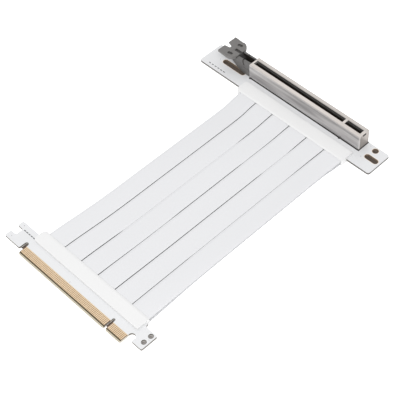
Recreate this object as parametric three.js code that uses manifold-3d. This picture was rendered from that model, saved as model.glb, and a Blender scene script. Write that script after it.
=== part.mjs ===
// Sixteen-lane graphics card riser: a plug board with an edge tongue, a flat cable of six shielded
// ribbons in two layers, and a slot board that carries a shielded card slot with a retention latch.
// Millimetres, +Z up. X runs along both connectors, Y along the cable from plug to slot.
import * as THREE from 'three';
import * as BufferGeometryUtils from 'three/addons/utils/BufferGeometryUtils.js';
import Module from 'manifold-3d';

// Card edge interface, shared by the tongue and the slot. X = 0 is the middle of the key.
const CONTACT_PITCH = 1.0;
const LONG_TONGUE = 71.65;
const SHORT_TONGUE = 11.65;
const KEY_GAP = 1.9;
const KEY_DEPTH = 7.0;
const FINGER_WIDTH = 0.7;
const FINGER_LENGTH = 4.4;
const FINGER_SETBACK = 0.25;
const FINGER_PLATING = 0.05;
const TIP_BEVEL_LENGTH = 1.2;
const TIP_BEVEL_DEPTH = 0.45;
const TIP_CORNER = 0.9;

// Circuit boards
const BOARD_THICKNESS = 1.6;
const BOARD_CORNER = 1.5;

// Plug board. Y = 0 is where the bevel of the tongue starts.
const HOOK_NOTCH_WIDTH = 2.6;
const HOOK_NOTCH_DEPTH = 7.2;
const LEFT_TAB_REACH = 13.0;
const LEFT_TAB_FRONT = 1.5;
const LEFT_TAB_BACK = 15.2;
const CATCH_FRONT = 6.2;
const CATCH_BACK = 11.2;
const CATCH_DEPTH = 4.4;
const SIDE_NOTCH_WIDTH = 4.3;
const SIDE_NOTCH_DEPTH = 7.8;
const RIGHT_TAB_WIDTH = 7.6;
const RIGHT_TAB_FRONT = 3.5;
const RIGHT_TAB_BACK = 15.1;
const TAB_CORNER = 0.8;
const NECK_FILLET = 1.2;
const NECK_RIGHT = 2.6;
const TAB_HOLE_RADIUS = 1.6;
const TAB_HOLE_INSET = 2.5;
const TAB_HOLE_FIRST = 4.2;
const TAB_HOLE_PITCH = 5.1;

// Moulded boots that close over the soldered ends of the ribbons
const BOOT_RISE = 1.5;
const BOOT_LEFT_MARGIN = 3.1;
const BOOT_RIGHT_MARGIN = 0.2;
const BOOT_EDGE_RADIUS = 0.5;
const BOOT_CORNER = 2.2;
const PLUG_BOOT_FRONT = 10.35;
const PLUG_BOOT_LENGTH = 8.95;
const SLOT_BOOT_LENGTH = 9.8;
const BOARD_TO_MOUTH = 2.5;
const SLOT_BOARD_TO_MOUTH = 4.1;
const BOOT_BEVEL_DROP = 0.3;
const BOOT_BEVEL_RUN = 1.3;
const BOOT_FIT = 0.1;

// Flat cable
const RIBBON_COUNT = 6;
const RIBBON_WIDTH = 13.2;
const RIBBON_GAP = 0.8;
const RIBBON_THICKNESS = 0.8;
const RIBBON_EDGE = 0.25;
const RIBBON_LAP = 3.0;
const SOLDER_GAP = 0.1;
const KEY_TO_CABLE_RIGHT = 14.0;
const CABLE_SPAN = 153.8;
const ROUTE_STEPS = 16;
// The layers draw together between the boots and the ribbons crowd towards the middle one.
const LAYER_DRAW = 0.7;
const RIBBON_CROWDING = [1.25, 0.85, 0.2, 0.15, -0.2, -0.85];
// Route of every ribbon: distance from the plug boot's mouth, and the share of draw and crowding there
const ROUTE = [
  [-5.5, 0], [-2, 0], [0, 0], [8, 0.12], [20, 0.5], [33, 0.86], [46, 1],
  [70, 1], [95, 1], [118, 1], [132, 1], [141, 0.8], [148, 0.3], [153.8, 0], [155.8, 0], [160.9, 0],
];

// Slot board
const SLOT_BOARD_LEFT = -109.3;
const SLOT_BOARD_RIGHT = 31.1;
const SLOT_BOARD_DEPTH = 19.3;
const SLOT_LINE_INSET = 14.5;
const FIXING_LINE_INSET = 9.9;
const FIXING_SLOT_WIDTH = 3.8;
const LONG_FIXING_SLOT = [-97.6, -78.8];
const SHORT_FIXING_SLOT = [20.1, 29.7];
const FIXING_HOLE = [22.6, 16.3];
const FIXING_HOLE_RADIUS = 2.0;

// Card slot connector, heights above the slot board
const SLOT_HEIGHT = 10.9;
const SHIELD_LEFT_WALL = 2.0;
const SHIELD_RIGHT_WALL = 2.15;
const SHIELD_WIDTH = 9.1;
const SHIELD_SHEET = 0.3;
const SHIELD_CORNER = 0.7;
const SHIELD_STANDOFF = 0.5;
const SHIELD_WINDOW = 3.7;
const SHIELD_BRIDGE = 1.7;
const WINDOW_LEFT_OVERRUN = 0.75;
const WINDOW_RIGHT_OVERRUN = 0.15;
const SHIELD_SEAM_DROP = 1.0;
const SHIELD_SEAM = 0.2;
const SHIELD_SEAM_DEPTH = 0.12;
const END_NOTCH_WIDTH = 2.6;
const END_NOTCH_HEIGHT = 0.8;
const END_NOTCH_DEPTH = 1.3;
const FLAP_INSET = 0.95;
const TAB_WIDTH = 1.2;
const TAB_LENGTH = 0.8;
const LEFT_TAB_INSET = 0.95;
const TAB_SLOT_CLEARANCE = 0.25;
const SHELL_FIT = 0.1;
const CARD_CLEARANCE = 0.2;
const CARD_END_CLEARANCE = 0.25;
const KEY_CLEARANCE = 0.1;
const SLOT_FLOOR = 2.6;
const LEAD_IN = 0.55;
const CELL_WIDTH = 0.6;
const CELL_DEPTH = 0.65;
const CELL_FLOOR = 1.2;
const BLADE_WIDTH = 0.4;
const BLADE_THICKNESS = 0.22;
const BLADE_REACH = 0.25;
const BLADE_TOP = 7.4;
const LEFT_PEG_INSET = 3.6;
const PEG_RADIUS = 1.1;
const PEG_CLEARANCE = 0.2;
const PEG_LENGTH = 0.6;

// Latch end of the slot housing
const PIVOT_TO_SHIELD = 11.1;
const PIVOT_HEIGHT = 5.3;
const CHEEK_RADIUS = 4.3;
const CHEEK_HALF_WIDTH = 3.9;
const CHEEK_TOP = 10.4;
const CHEEK_SHOULDER = 0.9;
const CHEEK_CHIN = 0.6;
const CHEEK_HEEL = 0.7;
const CHEEK_HEEL_HEIGHT = 0.9;
const CHEEK_FOOT = 3.5;
const CHEEK_SLIT = 0.5;
const CHEEK_SLIT_DEPTH = 3.8;
const CHEEK_SLIT_LEAN = 2.2;
const CHANNEL_WIDTH = 4.2;
const CHANNEL_FLOOR = 1.2;
const LEDGE_HEIGHT = 5.0;
const LEDGE_LENGTH = 6.6;

// Retention latch
const LATCH_SIDE_GAP = 0.3;
const LATCH_RUNNING_GAP = 0.35;
const TRUNNION_RADIUS = 1.2;
const TRUNNION_LENGTH = 0.9;
const TRUNNION_CLEARANCE = 0.25;
const HUB_RADIUS = 2.9;
const THUMB_REACH = 13.3;
const THUMB_WIDTH = 16.0;
const THUMB_TOP = 10.6;
const THUMB_THICKNESS = 1.3;
const THUMB_REAR = 0.35;
const THUMB_REAR_CORNER = 5.0;
const LOBE_THICKNESS = 2.2;
const SCOOP_PLACE = 6.7;
const SCOOP_DEPTH = 0.5;
const SCOOP_RUN = 1.4;
const TAIL_NOTCH_DEPTH = 4.0;
const TAIL_NOTCH_MOUTH = 3.9;
const TAIL_NOTCH_BOTTOM = 2.0;
const SPINE_HALF_WIDTH = 1.6;
const SPINE_FRONT = 6.0;
const POCKET_DEPTH = 0.9;
const MIDDLE_POCKET_WIDTH = 2.2;
const MIDDLE_POCKET_FRONT = 5.4;
const SIDE_POCKET_INSET = 4.6;
const SIDE_POCKET_WIDTH = 2.0;
const SIDE_POCKET_FRONT = 7.6;
const SIDE_POCKET_BACK = 3.7;
const HOOK_NOSE = 1.6;
const HOOK_TOP = 8.4;
const HOOK_DROP = 1.8;
const TOE_REACH = 3.6;

// Smoothness of curves
const ARC_STEPS = 4;
const HOLE_STEPS = 20;
const PIVOT_STEPS = 20;

// Places that follow from the sizes above
const KEY_EDGE = KEY_GAP / 2;
const LONG_END = -KEY_EDGE - LONG_TONGUE;
const SHORT_END = KEY_EDGE + SHORT_TONGUE;
const BOARD_BOTTOM = BOOT_RISE;
const BOARD_TOP = BOARD_BOTTOM + BOARD_THICKNESS;
const PARTING = BOARD_BOTTOM + BOARD_THICKNESS / 2;
const PLUG_MOUTH = PLUG_BOOT_FRONT + PLUG_BOOT_LENGTH;
const PLUG_BOARD_END = PLUG_MOUTH - BOARD_TO_MOUTH;
const SLOT_MOUTH = PLUG_MOUTH + CABLE_SPAN;
const SLOT_BOARD_FRONT = SLOT_MOUTH + SLOT_BOARD_TO_MOUTH;
const SLOT_BOARD_BACK = SLOT_BOARD_FRONT + SLOT_BOARD_DEPTH;
const SLOT_LINE = SLOT_BOARD_FRONT + SLOT_LINE_INSET;
const FIXING_LINE = SLOT_BOARD_FRONT + FIXING_LINE_INSET;
const RIBBON_PITCH = RIBBON_WIDTH + RIBBON_GAP;
const CABLE_LEFT = KEY_TO_CABLE_RIGHT - RIBBON_COUNT * RIBBON_PITCH;
const RIBBON_FIELD_LEFT = CABLE_LEFT + RIBBON_GAP / 2;
const RIBBON_FIELD_RIGHT = KEY_TO_CABLE_RIGHT - RIBBON_GAP / 2;
const BOOT_LEFT = CABLE_LEFT - BOOT_LEFT_MARGIN;
const BOOT_RIGHT = KEY_TO_CABLE_RIGHT + BOOT_RIGHT_MARGIN;
const KEY_RIB_HALF = KEY_EDGE - KEY_CLEARANCE;
const LONG_SLOT_END = LONG_END - CARD_END_CLEARANCE;
const SHORT_SLOT_END = SHORT_END + CARD_END_CLEARANCE;
const SHIELD_LEFT = LONG_SLOT_END - SHIELD_LEFT_WALL;
const SHIELD_RIGHT = SHORT_SLOT_END + SHIELD_RIGHT_WALL;
const TAB_PLACES = [SHIELD_LEFT + LEFT_TAB_INSET, 0];
const PEG_PLACES = [LONG_END + LEFT_PEG_INSET, 0];
const HOUSING_TOP = SLOT_HEIGHT - SHIELD_SHEET - SHELL_FIT;
const HOUSING_HALF_WIDTH = SHIELD_WIDTH / 2 - SHIELD_SHEET - SHELL_FIT;
const CARD_HALF = BOARD_THICKNESS / 2 + CARD_CLEARANCE;
const PIVOT_X = SHIELD_LEFT - PIVOT_TO_SHIELD;

const wasm = await Module();
wasm.setup();
const { Manifold, Mesh: ManifoldMesh } = wasm;

const plastic = (color, roughness) => new THREE.MeshStandardMaterial({ color, roughness, metalness: 0 });
const boardWhite = plastic(0xe9e9ea, 0.42);
const bootWhite = plastic(0xf0f0f0, 0.55);
const ribbonWhite = plastic(0xe7e8ea, 0.5);
const housingGrey = plastic(0x6f6e6d, 0.5);
const latchGrey = plastic(0x7b7a79, 0.48);
const shieldSteel = new THREE.MeshStandardMaterial({ color: 0xc9c4c0, roughness: 0.32, metalness: 1 });

/** Solid of a closed geometry, with its shared corners merged. */
function solidOf(geometry) {
  const bare = geometry.clone();
  bare.deleteAttribute('normal');
  bare.deleteAttribute('uv');
  const merged = BufferGeometryUtils.mergeVertices(bare, 1e-4);
  const vertProperties = Float32Array.from(merged.attributes.position.array);
  const triVerts = Uint32Array.from(merged.index.array);
  return new Manifold(new ManifoldMesh({ numProp: 3, vertProperties, triVerts }));
}

/** Geometry of a solid, for a mesh of the scene. */
function geometryOf(solid) {
  const { vertProperties, triVerts } = solid.getMesh();
  const geometry = new THREE.BufferGeometry();
  geometry.setAttribute('position', new THREE.BufferAttribute(Float32Array.from(vertProperties), 3));
  geometry.setIndex(new THREE.BufferAttribute(Uint32Array.from(triVerts), 1));
  geometry.computeVertexNormals();
  return geometry;
}

/** Named mesh of a solid. */
function piece(name, solid, material) {
  const mesh = new THREE.Mesh(geometryOf(solid), material);
  mesh.name = name;
  return mesh;
}

/** Outline whose corners are [x, y, radius], each corner an arc where its radius isn't zero. */
function outline(corners) {
  const points = [];
  corners.forEach(([x, y, radius = 0], index) => {
    const here = new THREE.Vector2(x, y);
    if (radius === 0) {
      points.push(here);
      return;
    }
    const [px, py] = corners[(index + corners.length - 1) % corners.length];
    const [nx, ny] = corners[(index + 1) % corners.length];
    const back = new THREE.Vector2(px - x, py - y).normalize();
    const ahead = new THREE.Vector2(nx - x, ny - y).normalize();
    const half = Math.acos(THREE.MathUtils.clamp(back.dot(ahead), -1, 1)) / 2;
    const start = here.clone().addScaledVector(back, radius / Math.tan(half));
    const end = here.clone().addScaledVector(ahead, radius / Math.tan(half));
    const middle = back.clone().add(ahead).normalize();
    const centre = here.clone().addScaledVector(middle, radius / Math.sin(half));
    const from = start.clone().sub(centre).angle();
    let sweep = end.clone().sub(centre).angle() - from;
    sweep = Math.atan2(Math.sin(sweep), Math.cos(sweep));
    for (let step = 0; step <= ARC_STEPS; step += 1) {
      const angle = from + (sweep * step) / ARC_STEPS;
      points.push(new THREE.Vector2(centre.x + radius * Math.cos(angle), centre.y + radius * Math.sin(angle)));
    }
  });
  return new THREE.Shape(points);
}

/** Rectangle outline with one corner radius. */
function rectangle(x0, x1, y0, y1, radius = 0) {
  return outline([[x0, y0, radius], [x1, y0, radius], [x1, y1, radius], [x0, y1, radius]]);
}

/** Solid extruded along Z from a plan outline. */
function upright(shape, z0, z1) {
  const geometry = new THREE.ExtrudeGeometry(shape, { depth: z1 - z0, bevelEnabled: false });
  geometry.translate(0, 0, z0);
  return solidOf(geometry);
}

/** Solid extruded along X from an outline drawn in Y and Z. */
function alongX(shape, x0, x1) {
  const geometry = new THREE.ExtrudeGeometry(shape, { depth: x1 - x0, bevelEnabled: false });
  const turn = new THREE.Matrix4().makeBasis(
    new THREE.Vector3(0, 1, 0),
    new THREE.Vector3(0, 0, 1),
    new THREE.Vector3(1, 0, 0),
  );
  geometry.applyMatrix4(turn);
  geometry.translate(x0, 0, 0);
  return solidOf(geometry);
}

/** Solid extruded along Y from an outline drawn in X and Z. */
function alongY(shape, y0, y1) {
  const geometry = new THREE.ExtrudeGeometry(shape, { depth: y1 - y0, bevelEnabled: false });
  const turn = new THREE.Matrix4().makeBasis(
    new THREE.Vector3(1, 0, 0),
    new THREE.Vector3(0, 0, 1),
    new THREE.Vector3(0, -1, 0),
  );
  geometry.applyMatrix4(turn);
  geometry.translate(0, y1, 0);
  return solidOf(geometry);
}

/** Rectangular block from its ranges. */
function block([x0, x1], [y0, y1], [z0, z1]) {
  const geometry = new THREE.BoxGeometry(x1 - x0, y1 - y0, z1 - z0);
  geometry.translate((x0 + x1) / 2, (y0 + y1) / 2, (z0 + z1) / 2);
  return solidOf(geometry);
}

/** Upright pin or bore. */
function uprightPin(x, y, radius, z0, z1) {
  const geometry = new THREE.CylinderGeometry(radius, radius, z1 - z0, HOLE_STEPS);
  geometry.rotateX(Math.PI / 2);
  geometry.translate(x, y, (z0 + z1) / 2);
  return solidOf(geometry);
}

/** Pin or bore on the latch pivot line, from one side of the slot line to the other. */
function pivotPin(radius, halfLength) {
  const geometry = new THREE.CylinderGeometry(radius, radius, 2 * halfLength, PIVOT_STEPS);
  geometry.translate(PIVOT_X, SLOT_LINE, BOARD_TOP + PIVOT_HEIGHT);
  return solidOf(geometry);
}

/** X places of the contacts on a tongue, or in the slot that takes it. */
function contactPlaces(left, width) {
  const count = Math.floor(width / CONTACT_PITCH);
  const first = left + (width - (count - 1) * CONTACT_PITCH) / 2;
  return Array.from({ length: count }, (_, index) => first + index * CONTACT_PITCH);
}

const CONTACTS = [...contactPlaces(LONG_END, LONG_TONGUE), ...contactPlaces(KEY_EDGE, SHORT_TONGUE)];

/** Outline of the plug board, starting at the long tongue's left tip. */
function plugBoardShape() {
  const tip = -TIP_BEVEL_LENGTH;
  const hookLeft = LONG_END - HOOK_NOTCH_WIDTH;
  const tabLeft = hookLeft - LEFT_TAB_REACH;
  const catchRight = tabLeft + CATCH_DEPTH;
  const notchRight = SHORT_END + SIDE_NOTCH_WIDTH;
  const tabRight = notchRight + RIGHT_TAB_WIDTH;
  const neckRight = SHORT_END + NECK_RIGHT;
  const keyRound = KEY_EDGE * 0.98;
  const hookRound = HOOK_NOTCH_WIDTH * 0.49;
  const sideRound = SIDE_NOTCH_WIDTH * 0.49;
  return outline([
    [LONG_END, tip, TIP_CORNER],
    [-KEY_EDGE, tip, TIP_CORNER],
    [-KEY_EDGE, KEY_DEPTH, keyRound],
    [KEY_EDGE, KEY_DEPTH, keyRound],
    [KEY_EDGE, tip, TIP_CORNER],
    [SHORT_END, tip, TIP_CORNER],
    [SHORT_END, SIDE_NOTCH_DEPTH, sideRound],
    [notchRight, SIDE_NOTCH_DEPTH, sideRound],
    [notchRight, RIGHT_TAB_FRONT, TAB_CORNER / 2],
    [tabRight, RIGHT_TAB_FRONT, TAB_CORNER],
    [tabRight, RIGHT_TAB_BACK, TAB_CORNER],
    [neckRight, RIGHT_TAB_BACK, NECK_FILLET],
    [neckRight, PLUG_BOARD_END],
    [BOOT_LEFT + TAB_CORNER, PLUG_BOARD_END],
    [BOOT_LEFT + TAB_CORNER, LEFT_TAB_BACK],
    [tabLeft, LEFT_TAB_BACK, TAB_CORNER],
    [tabLeft, CATCH_BACK, TAB_CORNER / 2],
    [catchRight, CATCH_BACK, TAB_CORNER],
    [catchRight, CATCH_FRONT, TAB_CORNER],
    [tabLeft, CATCH_FRONT, TAB_CORNER],
    [tabLeft, LEFT_TAB_FRONT, TAB_CORNER],
    [hookLeft, LEFT_TAB_FRONT, TAB_CORNER],
    [hookLeft, HOOK_NOTCH_DEPTH, hookRound],
    [LONG_END, HOOK_NOTCH_DEPTH, hookRound],
  ]);
}

/** Plug board with its bevelled tongue tip and a row of plated fingers on each face. */
function plugBoard() {
  const bevelLeft = LONG_END - HOOK_NOTCH_WIDTH / 2;
  const bevelRight = SHORT_END + SIDE_NOTCH_WIDTH / 2;
  const beyond = TIP_BEVEL_LENGTH + 1;
  const slope = TIP_BEVEL_DEPTH / TIP_BEVEL_LENGTH;
  const topBevel = outline([
    [0, BOARD_TOP],
    [-beyond, BOARD_TOP - beyond * slope],
    [-beyond, BOARD_TOP + 1],
    [0, BOARD_TOP + 1],
  ]);
  const bottomBevel = outline([
    [0, BOARD_BOTTOM],
    [0, BOARD_BOTTOM - 1],
    [-beyond, BOARD_BOTTOM - 1],
    [-beyond, BOARD_BOTTOM + beyond * slope],
  ]);
  const fingers = CONTACTS.map((x) => block(
    [x - FINGER_WIDTH / 2, x + FINGER_WIDTH / 2],
    [FINGER_SETBACK, FINGER_SETBACK + FINGER_LENGTH],
    [BOARD_BOTTOM - FINGER_PLATING, BOARD_TOP + FINGER_PLATING],
  ));
  const holes = [0, 1].map((row) => uprightPin(
    SHORT_END + SIDE_NOTCH_WIDTH + RIGHT_TAB_WIDTH - TAB_HOLE_INSET,
    RIGHT_TAB_FRONT + TAB_HOLE_FIRST + row * TAB_HOLE_PITCH,
    TAB_HOLE_RADIUS,
    BOARD_BOTTOM - 1,
    BOARD_TOP + 1,
  ));
  return upright(plugBoardShape(), BOARD_BOTTOM, BOARD_TOP)
    .subtract(Manifold.union(holes))
    .subtract(alongX(topBevel, bevelLeft, bevelRight))
    .subtract(alongX(bottomBevel, bevelLeft, bevelRight))
    .add(Manifold.union(fingers));
}

/** Slot board with its fixing slots and hole, and the holes of the connector's tabs and pegs. */
function slotBoard() {
  const [below, above] = [BOARD_BOTTOM - 1, BOARD_TOP + 1];
  const plan = rectangle(SLOT_BOARD_LEFT, SLOT_BOARD_RIGHT, SLOT_BOARD_FRONT, SLOT_BOARD_BACK, BOARD_CORNER);
  const half = FIXING_SLOT_WIDTH / 2;
  const fixingSlots = [LONG_FIXING_SLOT, SHORT_FIXING_SLOT].map(([left, right]) => upright(
    rectangle(left, right, FIXING_LINE - half, FIXING_LINE + half, half * 0.98), below, above,
  ));
  const [holeX, holeInset] = FIXING_HOLE;
  const fixingHole = uprightPin(holeX, SLOT_BOARD_FRONT + holeInset, FIXING_HOLE_RADIUS, below, above);
  const pegHoles = PEG_PLACES.map((x) => uprightPin(x, SLOT_LINE, PEG_RADIUS + PEG_CLEARANCE, below, above));
  const tabReach = TAB_WIDTH / 2 + TAB_SLOT_CLEARANCE;
  const sheetReach = SHIELD_SHEET / 2 + TAB_SLOT_CLEARANCE;
  const tabHoles = TAB_PLACES.flatMap((x) => [-1, 1].map((side) => {
    const middle = SLOT_LINE + side * (SHIELD_WIDTH - SHIELD_SHEET) / 2;
    return block([x - tabReach, x + tabReach], [middle - sheetReach, middle + sheetReach], [below, above]);
  }));
  return upright(plan, BOARD_BOTTOM, BOARD_TOP)
    .subtract(Manifold.union([...fixingSlots, fixingHole, ...pegHoles, ...tabHoles]));
}

/** Side profile of an upper boot, with its bevel at the mouth, as far down as the parting plane. */
function bootProfile(boardSide, mouth) {
  const inward = Math.sign(boardSide - mouth);
  const top = BOARD_TOP + BOOT_RISE;
  return outline([
    [boardSide, PARTING],
    [boardSide, top, BOOT_EDGE_RADIUS],
    [mouth + inward * BOOT_BEVEL_RUN, top],
    [mouth, top - BOOT_BEVEL_DROP, BOOT_BEVEL_DROP],
    [mouth, PARTING],
  ]);
}

/** Upper boot: profile and plan crossed, then cleared for the board and for its layer of ribbons. */
function upperBoot(boardSide, boardEnd, mouth) {
  const [low, high] = [Math.min(boardSide, mouth), Math.max(boardSide, mouth)];
  const inward = Math.sign(boardSide - mouth);
  const profile = alongX(bootProfile(boardSide, mouth), BOOT_LEFT, BOOT_RIGHT);
  const wallCorner = Math.min(BOOT_CORNER, BOOT_LEFT_MARGIN);
  const plan = upright(
    outline([[BOOT_LEFT, low, wallCorner], [BOOT_RIGHT, low, BOOT_EDGE_RADIUS],
      [BOOT_RIGHT, high, BOOT_EDGE_RADIUS], [BOOT_LEFT, high, wallCorner]]),
    PARTING,
    BOARD_TOP + BOOT_RISE + 1,
  );
  const boardClear = boardEnd - inward * BOOT_FIT;
  const boardRange = [Math.min(boardClear, boardSide + inward), Math.max(boardClear, boardSide + inward)];
  const board = block([BOOT_LEFT - 1, BOOT_RIGHT + 1], boardRange, [PARTING - 1, BOARD_TOP]);
  const lapEnd = boardEnd + inward * (RIBBON_LAP + BOOT_FIT);
  const outside = mouth - inward;
  const ribbons = block(
    [RIBBON_FIELD_LEFT - BOOT_FIT, RIBBON_FIELD_RIGHT + BOOT_FIT],
    [Math.min(lapEnd, outside), Math.max(lapEnd, outside)],
    [BOARD_TOP, BOARD_TOP + SOLDER_GAP + RIBBON_THICKNESS + BOOT_FIT],
  );
  return profile.intersect(plan).subtract(board).subtract(ribbons);
}

/** Lower boot: the plain upper one turned over at the parting plane. */
function lowerBoot(boardSide, boardEnd, mouth) {
  return upperBoot(boardSide, boardEnd, mouth).mirror([0, 0, 1]).translate([0, 0, 2 * PARTING]);
}

/** Ribbon of one layer: a flat section carried along the route. Layer 1 is above the boards, -1 below. */
function ribbon(index, layer) {
  const centre = CABLE_LEFT + (index + 0.5) * RIBBON_PITCH;
  const start = PARTING + layer * ((BOARD_THICKNESS + RIBBON_THICKNESS) / 2 + SOLDER_GAP);
  const stretch = CABLE_SPAN / ROUTE[ROUTE.length - 3][0];
  const points = ROUTE.map(([along, share]) => new THREE.Vector3(
    centre + RIBBON_CROWDING[index] * share,
    PLUG_MOUTH + along * stretch,
    start - layer * LAYER_DRAW * share,
  ));
  const half = RIBBON_WIDTH / 2;
  const thick = RIBBON_THICKNESS / 2;
  const rim = thick - RIBBON_EDGE;
  const section = new THREE.Shape([
    [thick, half - RIBBON_EDGE], [rim, half], [-rim, half], [-thick, half - RIBBON_EDGE],
    [-thick, RIBBON_EDGE - half], [-rim, -half], [rim, -half], [thick, RIBBON_EDGE - half],
  ].map(([x, y]) => new THREE.Vector2(x, y)));
  const geometry = new THREE.ExtrudeGeometry(section, {
    steps: ROUTE_STEPS,
    extrudePath: new THREE.CatmullRomCurve3(points, false, 'centripetal'),
  });
  return solidOf(geometry);
}

/** Shell of the shield: rounded in plan and at its upper bends, for an inset from the outer face. */
function shieldEnvelope(inset, bottom) {
  const half = SHIELD_WIDTH / 2 - inset;
  const radius = SHIELD_CORNER - inset;
  const top = BOARD_TOP + SLOT_HEIGHT - inset;
  const section = alongX(
    outline([
      [SLOT_LINE - half, bottom], [SLOT_LINE + half, bottom],
      [SLOT_LINE + half, top, radius], [SLOT_LINE - half, top, radius],
    ]),
    SHIELD_LEFT,
    SHIELD_RIGHT - inset,
  );
  const plan = upright(
    outline([
      [SHIELD_LEFT - 1, SLOT_LINE - half], [SHIELD_RIGHT - inset, SLOT_LINE - half, radius],
      [SHIELD_RIGHT - inset, SLOT_LINE + half, radius], [SHIELD_LEFT - 1, SLOT_LINE + half],
    ]),
    bottom,
    top,
  );
  return section.intersect(plan);
}

/** Side outline of the latch cheeks: round to the left over a lifted heel, with a flat foot on the board. */
function cheekOutline() {
  const pivotZ = BOARD_TOP + PIVOT_HEIGHT;
  const cheekLeft = PIVOT_X - CHEEK_RADIUS;
  const crown = pivotZ + CHEEK_RADIUS;
  return outline([
    [cheekLeft, pivotZ - CHEEK_CHIN],
    [PIVOT_X + CHEEK_HEEL, BOARD_TOP + CHEEK_HEEL_HEIGHT],
    [PIVOT_X + CHEEK_FOOT, BOARD_TOP],
    [SHIELD_LEFT, BOARD_TOP],
    [SHIELD_LEFT, BOARD_TOP + CHEEK_TOP],
    [PIVOT_X + CHEEK_RADIUS / 3, crown],
    [cheekLeft, crown, CHEEK_RADIUS * 0.98],
  ]);
}

/** Latch end of the housing: two cheeks with bevelled shoulders and a slit, and the ledge at the shield. */
function latchEnd() {
  const [left, top] = [PIVOT_X - CHEEK_RADIUS - 1, BOARD_TOP + CHEEK_TOP];
  const cheeks = alongY(cheekOutline(), SLOT_LINE - CHEEK_HALF_WIDTH, SLOT_LINE + CHEEK_HALF_WIDTH);
  const slitTop = PIVOT_X + CHEEK_FOOT;
  const slit = alongY(
    outline([
      [slitTop + CHEEK_SLIT_LEAN, top - CHEEK_SLIT_DEPTH],
      [slitTop + CHEEK_SLIT_LEAN + CHEEK_SLIT, top - CHEEK_SLIT_DEPTH],
      [slitTop + CHEEK_SLIT, top + 1],
      [slitTop, top + 1],
    ]),
    SLOT_LINE - CHEEK_HALF_WIDTH - 1,
    SLOT_LINE + CHEEK_HALF_WIDTH + 1,
  );
  const outer = CHEEK_HALF_WIDTH + 1;
  const shoulders = [-1, 1].map((side) => {
    const corners = [
      [SLOT_LINE + side * (CHEEK_HALF_WIDTH - CHEEK_SHOULDER - 1), top + 2],
      [SLOT_LINE + side * outer, top - 2 * CHEEK_SHOULDER - 2],
      [SLOT_LINE + side * outer, top + 2],
    ];
    return alongX(outline(side < 0 ? corners : corners.reverse()), left, SHIELD_LEFT);
  });
  const ledge = block(
    [SHIELD_LEFT - LEDGE_LENGTH, SHIELD_LEFT],
    [SLOT_LINE - HOUSING_HALF_WIDTH, SLOT_LINE + HOUSING_HALF_WIDTH],
    [BOARD_TOP, BOARD_TOP + LEDGE_HEIGHT],
  );
  return cheeks.subtract(slit).subtract(Manifold.union(shoulders)).add(ledge);
}

/** Body of the slot housing: the block inside the shield and the latch end, cleared for the latch. */
function housingBody() {
  const shieldBlock = shieldEnvelope(SHIELD_SHEET + SHELL_FIT, BOARD_TOP);
  const channel = block(
    [PIVOT_X - CHEEK_RADIUS - 1, SHIELD_LEFT],
    [SLOT_LINE - CHANNEL_WIDTH / 2, SLOT_LINE + CHANNEL_WIDTH / 2],
    [BOARD_TOP + CHANNEL_FLOOR, BOARD_TOP + CHEEK_TOP + 1],
  );
  const bore = pivotPin(TRUNNION_RADIUS + TRUNNION_CLEARANCE, CHANNEL_WIDTH / 2 + TRUNNION_LENGTH);
  return shieldBlock.add(latchEnd()).subtract(channel).subtract(bore).subtract(endNotch());
}

/** Notch at the top of the right end, through the shield and into the housing. */
function endNotch() {
  const top = BOARD_TOP + SLOT_HEIGHT - SHIELD_SHEET;
  return block(
    [SHIELD_RIGHT - END_NOTCH_DEPTH, SHIELD_RIGHT + 1],
    [SLOT_LINE - END_NOTCH_WIDTH / 2, SLOT_LINE + END_NOTCH_WIDTH / 2],
    [top - END_NOTCH_HEIGHT, top],
  );
}

/** Card opening between two X places, with its lead-in flare at the top. */
function cardOpening(left, right) {
  const top = BOARD_TOP + HOUSING_TOP;
  const flare = CARD_HALF + LEAD_IN;
  const section = outline([
    [SLOT_LINE - CARD_HALF, BOARD_TOP + SLOT_FLOOR],
    [SLOT_LINE + CARD_HALF, BOARD_TOP + SLOT_FLOOR],
    [SLOT_LINE + CARD_HALF, top - LEAD_IN],
    [SLOT_LINE + flare, top],
    [SLOT_LINE + flare, top + 1],
    [SLOT_LINE - flare, top + 1],
    [SLOT_LINE - flare, top],
    [SLOT_LINE - CARD_HALF, top - LEAD_IN],
  ]);
  return alongX(section, left, right);
}

/** Contact cell: a groove across both walls of the opening at one contact. */
function contactCell(x) {
  return block(
    [x - CELL_WIDTH / 2, x + CELL_WIDTH / 2],
    [SLOT_LINE - CARD_HALF - CELL_DEPTH, SLOT_LINE + CARD_HALF + CELL_DEPTH],
    [BOARD_TOP + CELL_FLOOR, BOARD_TOP + HOUSING_TOP + 1],
  );
}

/** Sprung contact blade that leans out of its cell on one side of the opening. */
function contactBlade(x, side) {
  const root = CARD_HALF + CELL_DEPTH - BLADE_THICKNESS;
  const touch = CARD_HALF - BLADE_REACH;
  const foot = BOARD_TOP + CELL_FLOOR - BLADE_THICKNESS;
  const places = [
    [root, foot],
    [root + BLADE_THICKNESS, foot],
    [touch + BLADE_THICKNESS, BOARD_TOP + BLADE_TOP],
    [touch, BOARD_TOP + BLADE_TOP - BLADE_THICKNESS],
  ];
  const corners = places.map(([y, z]) => [SLOT_LINE + side * y, z]);
  return alongX(outline(side > 0 ? corners : corners.reverse()), x - BLADE_WIDTH / 2, x + BLADE_WIDTH / 2);
}

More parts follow.
